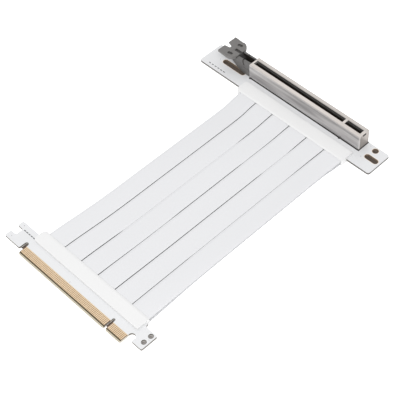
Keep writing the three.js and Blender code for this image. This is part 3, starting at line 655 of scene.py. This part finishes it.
@dataclass(frozen=True)
class BrushedSheet:
    """Thin nickel-plated steel, brushed along the slot, with painted shade on its sides and its
    end.
    """

    name: str = "brushed_shield"
    top: Colour = (0.72, 0.675, 0.64)
    top_dull: Colour = (0.56, 0.52, 0.49)
    far_top: Colour = (0.64, 0.60, 0.57)
    far_top_dull: Colour = (0.50, 0.47, 0.44)
    far_start: float = 1.4
    side: Colour = (0.74, 0.72, 0.71)
    side_dull: Colour = (0.40, 0.385, 0.385)
    fold: float = 1.0
    end: Colour = (0.46, 0.425, 0.40)
    end_dull: Colour = (0.34, 0.31, 0.285)
    flap_highlight: Colour = (0.80, 0.77, 0.75)
    flap_width: float = 0.85
    crease: Colour = (0.10, 0.09, 0.085)
    crease_width: float = 0.4
    hollow: Colour = (0.015, 0.012, 0.01)
    hollow_depth: tuple[float, float] = (0.28, 1.7)
    hollow_half: float = 1.45
    hollow_start: float = 1.7

    def build(self) -> bpy.types.Material:
        """Finishes the shield: streaks along X, slow darker bands and a painted highlight on the
        fold at the top.

        Returns:
            The shield's material.
        """
        sheet = Sheet(self.name)
        x, y, z = sheet.drawing_axes()
        (_, near), (right, far) = DATUM.plan_box("slot_shield")
        middle = DATUM.slot_line()
        depth = DATUM.top("slot_shield") - z
        streak = sheet.noise(2600.0, 4.0, (0.02, 1, 1))
        cloud = sheet.noise(45.0, 3.0, (0.5, 1, 1))
        band = sheet.noise(260.0, 2.0, (0.08, 1, 1)).rise(0.35, 0.65)
        worn = streak * 0.5 + cloud * 0.5
        near_top = sheet.blend(worn, self.top, self.top_dull)
        far_top = sheet.blend(worn, self.far_top, self.far_top_dull)
        # Painted shade: the far half of the top takes darker copies of the top's tones.
        top = sheet.blend(y.above(middle + self.far_start, 0.4), near_top, far_top)
        # Painted highlight: the bands fade within the fold's depth, so a lighter strip runs along
        # the top of the sides.
        bands_and_fold_highlight = (band * 0.8 + streak * 0.2) * (1 - depth.below(self.fold, 0.1) * 0.6)
        side = sheet.blend(bands_and_fold_highlight, self.side, self.side_dull)
        end = sheet.blend(cloud * 0.6 + streak * 0.4, self.end, self.end_dull)
        # Painted highlight: a lighter strip on the end along its near flap.
        end = sheet.blend(y.below(near + self.flap_width, 0.2), end, self.flap_highlight)
        # Painted shade: a dark strip on the end along the crease at its far side.
        end = sheet.blend(y.above(far - self.crease_width, 0.2), end, self.crease)
        # Painted light and shade by face: the top, the sides and the end of one metal take their
        # own tones.
        colour = sheet.blend(sheet.facing(2).rise(0.4, 0.8), side, top)
        colour = sheet.blend(sheet.facing(0).rise(0.6, 0.9), colour, end)
        # Painted shade: the hollow under the top at the right end is made near black.
        hollow = depth.within(*self.hollow_depth, 0.05) * x.above(right - self.hollow_start, 0.2)
        hollow = hollow * y.distance(middle).below(self.hollow_half, 0.1)
        colour = sheet.blend(hollow, colour, self.hollow)
        roughness = 0.27 + streak * 0.14 + cloud * 0.16
        normal = sheet.bump(streak, 0.000006)
        return sheet.finish(
            Base_Color=colour, Roughness=roughness, Metallic=1.0, Normal=normal,
        )


@dataclass(frozen=True)
class RibbonSleeve:
    """White sleeve of a flat cable: film over a row of fine leads, with painted gap shadow on its
    rims.
    """

    name: str = "white_ribbon_sleeve"
    film: Colour = (0.705, 0.708, 0.722)
    shade: Colour = (0.65, 0.653, 0.667)
    gap_shadow: Colour = (0.02, 0.02, 0.022)
    leads: int = 16

    def build(self) -> bpy.types.Material:
        """Finishes a ribbon: faint leads across, slow creases along, painted gap shadow at its
        rims.

        Returns:
            The ribbons' material.
        """
        sheet = Sheet(self.name)
        across = sheet.attribute("across")
        rim = sheet.attribute("rim")
        lead = (across * (self.leads / 2)).fraction().distance(0.5) * 2
        crease = sheet.noise(35.0, 2.0, (1, 0.25, 1))
        film = sheet.noise(1500.0, 2.0)
        skin = sheet.blend(crease * 0.6 + lead * 0.12, self.film, self.shade)
        # Painted gap shadow: rims that face an open slit are made near black.
        colour = sheet.blend(rim, skin, self.gap_shadow)
        normal = sheet.bump(lead * 0.6 + film * 0.15 + crease * 0.6, 0.00003)
        return sheet.finish(
            Base_Color=colour, Roughness=0.42 + film * 0.1, Normal=normal, Coat_Weight=0.1,
        )


@dataclass(frozen=True)
class PlainMetal:
    """Small bright metal with a fine uneven skin."""

    name: str
    colour: Colour
    roughness: float

    def build(self) -> bpy.types.Material:
        """Finishes contacts and solder.

        Returns:
            The metal's material.
        """
        sheet = Sheet(self.name)
        skin = sheet.noise(1800.0, 2.0)
        darker = tuple(0.75 * part for part in self.colour)
        colour = sheet.blend(skin, self.colour, darker)
        normal = sheet.bump(skin, 0.00001)
        return sheet.finish(
            Base_Color=colour, Roughness=self.roughness + skin * 0.12, Metallic=1.0, Normal=normal,
        )


@dataclass(frozen=True)
class PrintInk:
    """Dark legend ink on the boards."""

    name: str = "legend_ink"
    colour: Colour = (0.05, 0.05, 0.055)
    worn: Colour = (0.16, 0.16, 0.17)

    def build(self) -> bpy.types.Material:
        """Finishes the printed ticks.

        Returns:
            The ink's material.
        """
        sheet = Sheet(self.name)
        grain = sheet.noise(4000.0, 2.0)
        colour = sheet.blend(grain * 0.5, self.colour, self.worn)
        return sheet.finish(Base_Color=colour, Roughness=0.6 + grain * 0.1)


@dataclass(frozen=True)
class PaleFloor:
    """Pale light table: an evenly lit floor, with shadow painted into its colour and glow where
    the riser covers it.

    Each cover is a rectangle, X and then Y from low to high, and how dark its painted shadow is
    from 0 to 1.
    """

    name: str = "pale_floor"
    colour: Colour = (0.94, 0.94, 0.94)
    shade: Colour = (0.92, 0.92, 0.92)
    painted_shadow: Colour = (0.085, 0.068, 0.055)
    glow: Colour = (1.0, 1.0, 1.0)
    painted_shadow_glow: Colour = (0.055, 0.042, 0.034)
    glow_strength: float = 0.5
    covers: tuple[tuple[float, float, float, float, float], ...] = (
        (-107.0, 28.0, 180.0, 196.4, 1.0), (18.0, 23.5, 190.0, 197.6, 1.0),
        (-60.0, 4.0, 11.0, 184.0, 1.0), (17.6, 22.5, 6.5, 15.0, 0.85),
        (-77.8, -73.6, 3.4, 9.6, 1.0), (-3.6, -0.9, 1.8, 9.6, 1.0),
    )

    def build(self) -> bpy.types.Material:
        """Finishes the floor, with painted shadow inside any of its covers.

        Returns:
            The floor's material.
        """
        sheet = Sheet(self.name)
        x, y, _ = sheet.drawing_axes()
        spots = [
            x.within(x0, x1, 0.1) * y.within(y0, y1, 0.1) * dark
            for x0, x1, y0, y1, dark in self.covers
        ]
        painted_shadow = spots[0]
        for spot in spots[1:]:
            painted_shadow = painted_shadow.greater(spot)
        cloud = sheet.noise(3.0, 2.0)
        # Painted shadow under the boards, the cable and the notches, seen through holes, notches
        # and slits.
        colour = sheet.blend(painted_shadow, sheet.blend(cloud, self.colour, self.shade), self.painted_shadow)
        glow = sheet.blend(painted_shadow, self.glow, self.painted_shadow_glow)
        return sheet.finish(
            Base_Color=colour, Roughness=0.9,
            Emission_Color=glow, Emission_Strength=self.glow_strength,
        )


def build_mesh(
    name: str, points: np.ndarray, faces: Iterable[np.ndarray], smooth: bool = True,
) -> bpy.types.Object:
    """Makes an object at the origin from arrays.

    Args:
        name: Name of the object and its mesh.
        points: Places in the frame's metres, one row each.
        faces: Arrays of point numbers, one row for each face; each array has faces of one size.
        smooth: Whether the faces are shaded smooth.

    Returns:
        The new object.
    """
    groups = [np.asarray(group, np.int32) for group in faces]
    sizes = np.concatenate([np.full(len(group), group.shape[1], np.int32) for group in groups])
    corners = np.concatenate([group.ravel() for group in groups])
    mesh = bpy.data.meshes.new(name)
    mesh.vertices.add(len(points))
    mesh.vertices.foreach_set("co", np.asarray(points, np.float32).ravel())
    mesh.loops.add(len(corners))
    mesh.loops.foreach_set("vertex_index", corners)
    mesh.polygons.add(len(sizes))
    starts = np.concatenate([[0], np.cumsum(sizes)[:-1]]).astype(np.int32)
    mesh.polygons.foreach_set("loop_start", starts)
    mesh.update(calc_edges=True)
    mesh.validate()
    mesh.polygons.foreach_set("use_smooth", np.full(len(mesh.polygons), smooth))
    piece = bpy.data.objects.new(name, mesh)
    bpy.context.scene.collection.objects.link(piece)
    return piece


def tube_faces(rings: int, around: int) -> list[np.ndarray]:
    """Faces of a closed tube whose rings of points follow each other, with a face at each end.

    Args:
        rings: Number of rings.
        around: Points in each ring.

    Returns:
        The quads, the start face and the end face, as point numbers.
    """
    ring = np.arange(rings - 1)[:, None] * around
    here = np.arange(around)[None, :]
    ahead = (here + 1) % around
    corners = [ring + here, ring + ahead, ring + around + ahead, ring + around + here]
    quads = np.stack(corners, -1).reshape(-1, 4)
    start = np.arange(around)[::-1][None, :]
    end = (rings - 1) * around + np.arange(around)[None, :]
    return [quads, start, end]


def copies(points: np.ndarray, faces: Sequence[np.ndarray], shifts: np.ndarray) -> Shape:
    """The same shape at several places.

    Args:
        points: Points of one shape.
        faces: Face arrays of one shape.
        shifts: Shift of each copy, one row each.

    Returns:
        All the points, and the face arrays.
    """
    placed = (shifts[:, None, :] + points[None, :, :]).reshape(-1, 3)
    starts = np.arange(len(shifts)) * len(points)
    joined = [(starts[:, None, None] + group[None]).reshape(-1, group.shape[1]) for group in faces]
    return placed, joined


def joined_shapes(name: str, parts: Sequence[Shape], smooth: bool) -> bpy.types.Object:
    """Several shapes as one piece.

    Args:
        name: Name of the piece.
        parts: Points in drawing millimetres and face arrays of each shape.
        smooth: Whether the faces are shaded smooth.

    Returns:
        The piece.
    """
    points = np.concatenate([part[0] for part in parts])
    starts = np.concatenate([[0], np.cumsum([len(part[0]) for part in parts])[:-1]])
    faces = [group + start for part, start in zip(parts, starts) for group in part[1]]
    return build_mesh(name, DATUM.place(points), faces, smooth)


def level_places(x: np.ndarray, y: float, z: float) -> np.ndarray:
    """Places along X at one Y and one height."""
    return np.stack([x, np.full(len(x), y), np.full(len(x), z)], -1)


def store(piece: bpy.types.Object, name: str, values: np.ndarray) -> None:
    """Stores one number for each point of a piece."""
    attribute = piece.data.attributes.new(name, "FLOAT", "POINT")
    attribute.data.foreach_set("value", np.asarray(values, np.float32).ravel())


def dress(piece: bpy.types.Object, material: bpy.types.Material) -> bpy.types.Object:
    """Gives a piece one material.

    Args:
        piece: Piece of the riser or of the studio.
        material: Its finish.

    Returns:
        The piece.
    """
    piece.data.materials.clear()
    piece.data.materials.append(material)
    return piece


@dataclass
class PhotoCamera:
    """Camera at the photograph's viewing angle. Its aim and distance are in millimetres."""

    azimuth: float = 48.798
    elevation: float = 50.284
    roll: float = -4.082
    distance: float = 631.55
    aim_right: float = 50.356
    aim_up: float = 67.354
    focal: float = 106.94
    sensor: float = 36.0

    def axes(self) -> tuple[Vector, Vector, Vector]:
        """Directions of the camera, rolled about its line of sight.

        Returns:
            Right, up and back, each of length 1.
        """
        angles = (self.azimuth, self.elevation, self.roll)
        turn, tilt, roll = (math.radians(angle) for angle in angles)
        reach = math.cos(tilt)
        back = Vector((math.sin(turn) * reach, -math.cos(turn) * reach, math.sin(tilt)))
        right = Vector((math.cos(turn), math.sin(turn), 0.0))
        above = back.cross(right)
        rolled_right = math.cos(roll) * right + math.sin(roll) * above
        rolled_up = -math.sin(roll) * right + math.cos(roll) * above
        return rolled_right, rolled_up, back

    def build(self) -> bpy.types.Object:
        """Places the camera and makes it the scene's own.

        Returns:
            The camera.
        """
        right, above, back = self.axes()
        eye = right * self.aim_right + above * self.aim_up + back * self.distance
        place = DATUM.point(eye.x, eye.y, eye.z + DATUM.board_top)
        lens = bpy.data.cameras.new("camera")
        lens.sensor_width = self.sensor
        lens.lens = self.focal
        lens.clip_end = 20.0
        camera = bpy.data.objects.new("camera", lens)
        turned = Matrix((right, above, back)).transposed().to_4x4()
        camera.matrix_world = Matrix.Translation(place) @ turned
        bpy.context.scene.collection.objects.link(camera)
        bpy.context.scene.camera = camera
        return camera


@dataclass
class Cable:
    """Twelve flat ribbons in two layers. The route is the one that their solids follow.

    Each row of gaps is for one slit: a distance along the cable and how wide the slit is there.
    """

    count: int = 6
    pitch: float = 14.0
    width: float = 13.2
    thickness: float = 0.8
    right_edge: float = 14.0
    mouth: float = 19.3
    solder_gap: float = 0.1
    draw: float = 0.7
    crowding: tuple[float, ...] = (1.25, 0.85, 0.2, 0.15, -0.2, -0.85)
    route: tuple[tuple[float, float], ...] = (
        (-5.5, 0), (-2, 0), (0, 0), (8, 0.12), (20, 0.5), (33, 0.86), (46, 1),
        (70, 1), (95, 1), (118, 1), (132, 1), (141, 0.8), (148, 0.3),
        (153.8, 0), (155.8, 0), (160.9, 0),
    )
    rings: int = 110
    side_points: int = 16
    rim_width: float = 0.45
    rim_thickness: float = 0.34
    shoulder_width: float = 0.7
    rim_share: float = 0.9995
    open_gap: float = 0.3
    gaps: tuple[tuple[tuple[float, float], ...], ...] = (
        ((19, 0.45), (60, 0.45), (120, 0.4), (172, 0.5)),
        ((19, 0.5), (44, 0.5), (52, 0.12), (140, 0.1), (150, 0.45), (172, 0.5)),
        (
            (19, 0.5), (40, 0.3), (72, 0.2), (82, 0.42),
            (126, 0.42), (134, 0.2), (155, 0.3), (172, 0.5),
        ),
        ((19, 0.5), (130, 0.42), (137, 0.15), (156, 0.15), (163, 0.4), (172, 0.5)),
        ((19, 0.35), (60, 0.3), (66, 0.18), (140, 0.18), (160, 0.4), (172, 0.5)),
    )
    finish: RibbonSleeve = field(default_factory=RibbonSleeve)

    def centre_line(self, index: int, layer: Layer) -> np.ndarray:
        """Points that a ribbon follows: the route, crowded sideways, with the layers drawn in.

        Args:
            index: Place of the ribbon, from the latch side.
            layer: Layer of the ribbon.

        Returns:
            The points, in drawing millimetres.
        """
        along, share = np.array(self.route, float).T
        left = self.right_edge - self.count * self.pitch
        rest = (BOARD_THICKNESS + self.thickness) / 2 + self.solder_gap
        start = DATUM.middle + layer.value * rest
        return np.stack([
            left + (index + 0.5) * self.pitch + self.crowding[index] * share,
            self.mouth + along,
            start - layer.value * self.draw * share,
        ], -1)

    def smooth_line(self, points: np.ndarray) -> np.ndarray:
        """Route resampled evenly on a centripetal Catmull-Rom curve through its points.

        Each knot lies the square root of a leg's length after the last, and three rounds of
        straight blends between neighbours give the curve.

        Args:
            points: Points of the route, one row each.

        Returns:
            One point for every ring.
        """
        ends = np.vstack([2 * points[0] - points[1], points, 2 * points[-1] - points[-2]])
        legs = np.linalg.norm(np.diff(ends, axis=0), axis=1)
        knots = np.concatenate([[0], np.cumsum(legs ** 0.5)])
        chord = np.concatenate([[0], np.cumsum(legs[1:-1])])
        wanted = np.linspace(0, chord[-1], self.rings)
        times = np.interp(wanted, chord, knots[1:-1])
        leg = np.clip(np.searchsorted(knots[1:-1], times, side="right") - 1, 0, len(points) - 2)
        k = [knots[leg + shift][:, None] for shift in range(4)]
        p = [ends[leg + shift] for shift in range(4)]
        t = times[:, None]
        first = [
            ((k[i + 1] - t) * p[i] + (t - k[i]) * p[i + 1]) / (k[i + 1] - k[i])
            for i in range(3)
        ]
        second = [
            ((k[i + 2] - t) * first[i] + (t - k[i]) * first[i + 1]) / (k[i + 2] - k[i])
            for i in range(2)
        ]
        return ((k[2] - t) * second[0] + (t - k[1]) * second[1]) / (k[2] - k[1])

    def section(self) -> tuple[np.ndarray, np.ndarray, np.ndarray]:
        """Closed section of a ribbon: a flat body whose shoulders roll down to thin sealed rims.

        Over the shoulder the height goes from the rim's to the body's as a smooth step,
        3 s ^ 2 - 2 s ^ 3.

        Returns:
            Across and height of each point in millimetres, and the share across the width.
        """
        half = self.width / 2
        share = np.sin(np.linspace(-math.pi / 2, math.pi / 2, 2 * self.side_points))
        across = share * half
        inward = np.clip((half - np.abs(across) - self.rim_width) / self.shoulder_width, 0, 1)
        shoulder = inward * inward * (3 - 2 * inward)
        height = (self.rim_thickness + (self.thickness - self.rim_thickness) * shoulder) / 2
        x = np.concatenate([across, across[::-1]])
        z = np.concatenate([-height, height[::-1]])
        return x, z, np.concatenate([share, share[::-1]])

    def slit(
        self, line: np.ndarray, index: int, side: int, layer: Layer,
    ) -> tuple[np.ndarray, np.ndarray]:
        """How far a ribbon's edge spreads towards its neighbour, and how open the slit there is.

        Args:
            line: The ribbon's smoothed route.
            index: Place of the ribbon.
            side: -1 for its left edge and +1 for its right edge.
            layer: Layer of the ribbon.

        Returns:
            The spread in millimetres and the openness from 0 to 1, one of each for every ring.
        """
        other = index + side
        if other < 0 or other >= self.count:
            return np.zeros(self.rings), np.zeros(self.rings)
        beside = self.smooth_line(self.centre_line(other, layer))
        away = np.interp(line[:, 1], beside[:, 1], beside[:, 0]) - line[:, 0]
        room = np.abs(away) - self.width
        wanted = np.interp(line[:, 1], *np.array(self.gaps[min(index, other)], float).T)
        return (room - wanted) / 2, np.clip(wanted / self.open_gap, 0, 1) ** 2

    def ribbon(self, index: int, layer: Layer) -> bpy.types.Object:
        """One ribbon: the section carried along the smoothed route, level across and square to it.

        Each edge spreads by the cube of its share across the width.

        Args:
            index: Place of the ribbon, from the latch side.
            layer: Layer of the ribbon.

        Returns:
            The ribbon.
        """
        line = self.smooth_line(self.centre_line(index, layer))
        x, z, share = self.section()
        left_spread, left_open = self.slit(line, index, -1, layer)
        right_spread, right_open = self.slit(line, index, 1, layer)
        on_left = share < 0
        spread = np.where(on_left, left_spread[:, None], right_spread[:, None])
        # How open each slit is sets the painted gap shadow on the rim points beside it.
        rim = np.where(on_left, left_open[:, None], right_open[:, None])
        rim = rim * (np.abs(share) > self.rim_share)
        across = x[None] + spread * share ** 3
        ahead = np.gradient(line, axis=0)
        ahead /= np.linalg.norm(ahead, axis=1)[:, None]
        side = np.cross(ahead, np.array([0.0, 0.0, 1.0]))
        side /= np.linalg.norm(side, axis=1)[:, None]
        above = np.cross(side, ahead)
        lifted = line[:, None] + z[None, :, None] * above[:, None]
        points = DATUM.place(lifted + across[:, :, None] * side[:, None]).reshape(-1, 3)
        place = f"{layer.name.lower()}_{index + 1}"
        piece = build_mesh(f"sleeve_{place}", points, tube_faces(self.rings, len(x)))
        store(piece, "across", np.tile(share, self.rings))
        store(piece, "rim", rim)
        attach(piece, RISER)
        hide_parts(f"ribbon_{place}")
        return piece

    def build(self) -> None:
        """Makes and dresses every ribbon."""
        material = self.finish.build()
        for layer in Layer:
            for index in range(self.count):
                piece = dress(self.ribbon(index, layer), material)
                log.info("ribbon %s: %d faces", piece.name, len(piece.data.polygons))


@dataclass
class CardSlot:
    """Contact leaves inside the slot, and the solder joints of their tails under the board."""

    card_half: float = 1.0
    cell_depth: float = 0.65
    leaf_width: float = 0.44
    leaf_thickness: float = 0.27
    leaf_foot: float = 1.0
    leaf_top: float = 7.5
    leaf_rings: int = 9
    turn_start: float = 0.86
    turn_back: float = 0.05
    reach: float = 0.28
    joint_radius: float = 0.36
    joint_height: float = 0.45
    joint_tip: float = 0.15
    tail_rows: tuple[float, ...] = (1.4, 3.4)
    gold: PlainMetal = PlainMetal("contact_gold", (0.80, 0.56, 0.30), 0.25)
    solder: PlainMetal = PlainMetal("solder", (0.68, 0.68, 0.70), 0.3)

    def leaf_shape(self, side: int) -> Shape:
        """One leaf: a strip that leans out of its cell, crowns at the card and turns back in.

        It leans by its height ^ 1.05, and the tip turns back by the square of its own share.

        Args:
            side: +1 for the far row and -1 for the near row.

        Returns:
            Points and faces of the leaf, in drawing millimetres.
        """
        height = np.linspace(0, 1, self.leaf_rings)
        root = self.card_half + self.cell_depth - self.leaf_thickness / 2
        lean = root - (self.cell_depth + self.reach - self.leaf_thickness / 2) * height ** 1.05
        tip = np.clip((height - self.turn_start) / (1 - self.turn_start), 0, 1)
        rise = self.leaf_foot + (self.leaf_top - self.leaf_foot) * height
        half_w, half_t = self.leaf_width / 2, self.leaf_thickness / 2
        across = np.array([-half_w, half_w, half_w, -half_w])
        through = np.array([-half_t, -half_t, half_t, half_t])
        points = np.zeros((self.leaf_rings, 4, 3))
        points[:, :, 0] = across[None, :]
        points[:, :, 1] = side * ((lean + self.turn_back * tip ** 2)[:, None] + through[None, :])
        points[:, :, 2] = rise[:, None]
        faces = tube_faces(self.leaf_rings, 4)
        if side < 0:
            faces = [group[:, ::-1] for group in faces]
        return points.reshape(-1, 3), faces

    def leaves(self) -> bpy.types.Object:
        """Makes every contact leaf of both rows.

        Returns:
            The leaves, as one piece.
        """
        places = level_places(contact_places(), DATUM.slot_line(), DATUM.board_top)
        parts = [copies(*self.leaf_shape(side), places) for side in (-1, 1)]
        return joined_shapes("contact_leaves", parts, smooth=False)

    def joints(self) -> bpy.types.Object:
        """Solder joints under the board: cones with a hollow flank, radius = r (1 - h) ^ 1.7.

        Each row has a joint at every second contact, and the rows of a side are staggered.

        Returns:
            The joints, as one piece.
        """
        around, rings = 10, 5
        rise = np.linspace(0, 1, rings)
        blunt = self.joint_tip + (1 - self.joint_tip) * (1 - rise) ** 1.7
        radius = self.joint_radius * blunt
        angle = np.arange(around) * 2 * math.pi / around
        points = np.stack([
            radius[:, None] * np.cos(angle)[None],
            -radius[:, None] * np.sin(angle)[None],
            np.repeat(-rise[:, None] * self.joint_height, around, 1),
        ], -1).reshape(-1, 3)
        places, line = contact_places(), DATUM.slot_line()
        rows = [
            level_places(places[start::2], line + side * row, DATUM.board_bottom)
            for side in (-1, 1) for start, row in enumerate(self.tail_rows)
        ]
        shape = copies(points, tube_faces(rings, around), np.concatenate(rows))
        return joined_shapes("solder_joints", [shape], smooth=True)

    def build(self) -> None:
        """Makes the leaves and joints and rides them on the riser."""
        for piece, finish in ((self.leaves(), self.gold), (self.joints(), self.solder)):
            dress(piece, finish.build())
            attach(piece, RISER)
            log.info("%s: %d faces", piece.name, len(piece.data.polygons))


@dataclass
class Legend:
    """Plain printed ticks and dots on the boards.

    A row is the X of its first tick, its Y, its step and its count. A dot is its X and Y.
    """

    thickness: float = 0.02
    slot_row: tuple[float, float, float, int] = (-102.6, 179.7, 2.5, 6)
    plug_row: tuple[float, float, float, int] = (-82.0, 11.4, 2.0, 5)
    dots: tuple[tuple[float, float], ...] = (
        (-85.2, 13.4), (-84.8, 3.9), (23.0, 10.5), (-36.0, 5.84),
        (18.0, 194.8), (19.0, 184.6), (-100.0, 186.5),
    )
    dot: float = 0.35
    tick: tuple[float, float] = (1.45, 0.6)
    finish: PrintInk = field(default_factory=PrintInk)

    def marks(self) -> np.ndarray:
        """Ticks and dots of the boards.

        Returns:
            X and Y of each mark's middle and half its two sizes, one row each.
        """
        length, width = self.tick
        ticks = [
            (start + step * index, y, length / 2, width / 2)
            for start, y, step, count in (self.slot_row, self.plug_row) for index in range(count)
        ]
        dots = [(x, y, self.dot / 2, self.dot / 2) for x, y in self.dots]
        return np.array([*ticks, *dots])

    def build(self) -> None:
        """Thin flat prints a hair above the mask: each is a box of eight points."""
        marks = self.marks()
        corner = np.array([[-1, -1], [1, -1], [1, 1], [-1, 1]], float)
        flat = marks[:, None, :2] + corner[None] * marks[:, None, 2:]
        low = np.full((len(marks), 4, 1), DATUM.board_top)
        points = np.concatenate([
            np.concatenate([flat, low], -1), np.concatenate([flat, low + self.thickness], -1),
        ], 1).reshape(-1, 3)
        box = np.array([
            [0, 3, 2, 1], [4, 5, 6, 7], [0, 1, 5, 4], [1, 2, 6, 5], [2, 3, 7, 6], [3, 0, 4, 7],
        ])
        faces = (np.arange(len(marks))[:, None, None] * 8 + box[None]).reshape(-1, 4)
        piece = joined_shapes("printed_ticks", [(points, [faces])], smooth=False)
        dress(piece, self.finish.build())
        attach(piece, RISER)
        log.info("%s: %d marks", piece.name, len(marks))


@dataclass
class Solids:
    """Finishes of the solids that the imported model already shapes."""

    board: SolderMask = field(default_factory=SolderMask)
    edge: GoldEdge = field(default_factory=GoldEdge)
    boot: Moulding = Moulding("white_boot", (0.75, 0.75, 0.75), (0.72, 0.72, 0.72), 0.42)
    housing: Moulding = HousingMoulding(
        "grey_housing", (0.135, 0.130, 0.127), (0.10, 0.097, 0.094), 0.42,
    )
    latch: Moulding = LatchMoulding(
        "grey_latch", (0.175, 0.168, 0.163), (0.125, 0.120, 0.117), 0.38,
    )
    shield: BrushedSheet = field(default_factory=BrushedSheet)

    def build(self) -> None:
        """Dresses every node that stays."""
        boot = self.boot.build()
        finishes = {
            "slot_board": self.board.build(),
            "plug_board": self.edge.build(),
            "slot_housing": self.housing.build(),
            "retention_latch": self.latch.build(),
            "slot_shield": self.shield.build(),
        }
        for name in ("plug_boot_upper", "plug_boot_lower", "slot_boot_upper", "slot_boot_lower"):
            finishes[name] = boot
        for name, material in finishes.items():
            dress(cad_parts[name], material)
            log.info("dressed %s", name)


@dataclass
class Studio:
    """Pale floor and soft light. Lengths are metres."""

    floor_half: float = 4.0
    floor_drop: float = 0.0001
    world_strength: float = 0.62
    key_power: float = 9.0
    key_size: float = 0.7
    key_place: tuple[float, float, float] = (0.45, -0.55, 0.95)
    panel_power: float = 2.8
    panel_size: float = 1.2
    panel_place: tuple[float, float, float] = (-0.60, 0.50, 0.98)
    floor: PaleFloor = field(default_factory=PaleFloor)

    def add_floor(self) -> None:
        """Level floor a hair below the riser."""
        corners = np.array([[-1, -1], [1, -1], [1, 1], [-1, 1]], float) * self.floor_half
        corners = np.column_stack([corners, np.full(4, -self.floor_drop)])
        floor = build_mesh("floor", corners, [np.array([[0, 1, 2, 3]])], smooth=False)
        dress(floor, self.floor.build())

    def add_world(self) -> None:
        """Even white surroundings."""
        world = bpy.data.worlds.new("studio")
        world.use_nodes = True
        background = world.node_tree.nodes["Background"]
        background.inputs["Color"].default_value = (1.0, 1.0, 1.0, 1.0)
        background.inputs["Strength"].default_value = self.world_strength
        bpy.context.scene.world = world

    def add_panel(self, name: str, place: Sequence[float], size: float, power: float) -> None:
        """Square soft light aimed at the riser.

        Args:
            name: Name of the light.
            place: Where it hangs.
            size: Side of the square.
            power: Watts.
        """
        lamp = bpy.data.lights.new(name, "AREA")
        lamp.size = size
        lamp.energy = power
        panel = bpy.data.objects.new(name, lamp)
        panel.location = Vector(place)
        panel.rotation_euler = (-Vector(place)).to_track_quat("-Z", "Y").to_euler()
        bpy.context.scene.collection.objects.link(panel)

    def build(self) -> None:
        """Builds the stage and shows its tones as they are, as a product photograph does."""
        bpy.context.scene.view_settings.view_transform = "Standard"
        self.add_floor()
        self.add_world()
        self.add_panel("key", self.key_place, self.key_size, self.key_power)
        self.add_panel("sky_panel", self.panel_place, self.panel_size, self.panel_power)


def main() -> None:
    """Builds the camera, the cable, the slot's fine pieces, the finishes and the studio."""
    logging.basicConfig(level=logging.INFO, format="%(message)s")
    PhotoCamera().build()
    Cable().build()
    CardSlot().build()
    Legend().build()
    Solids().build()
    Studio().build()


if __name__ == "__main__":
    main()
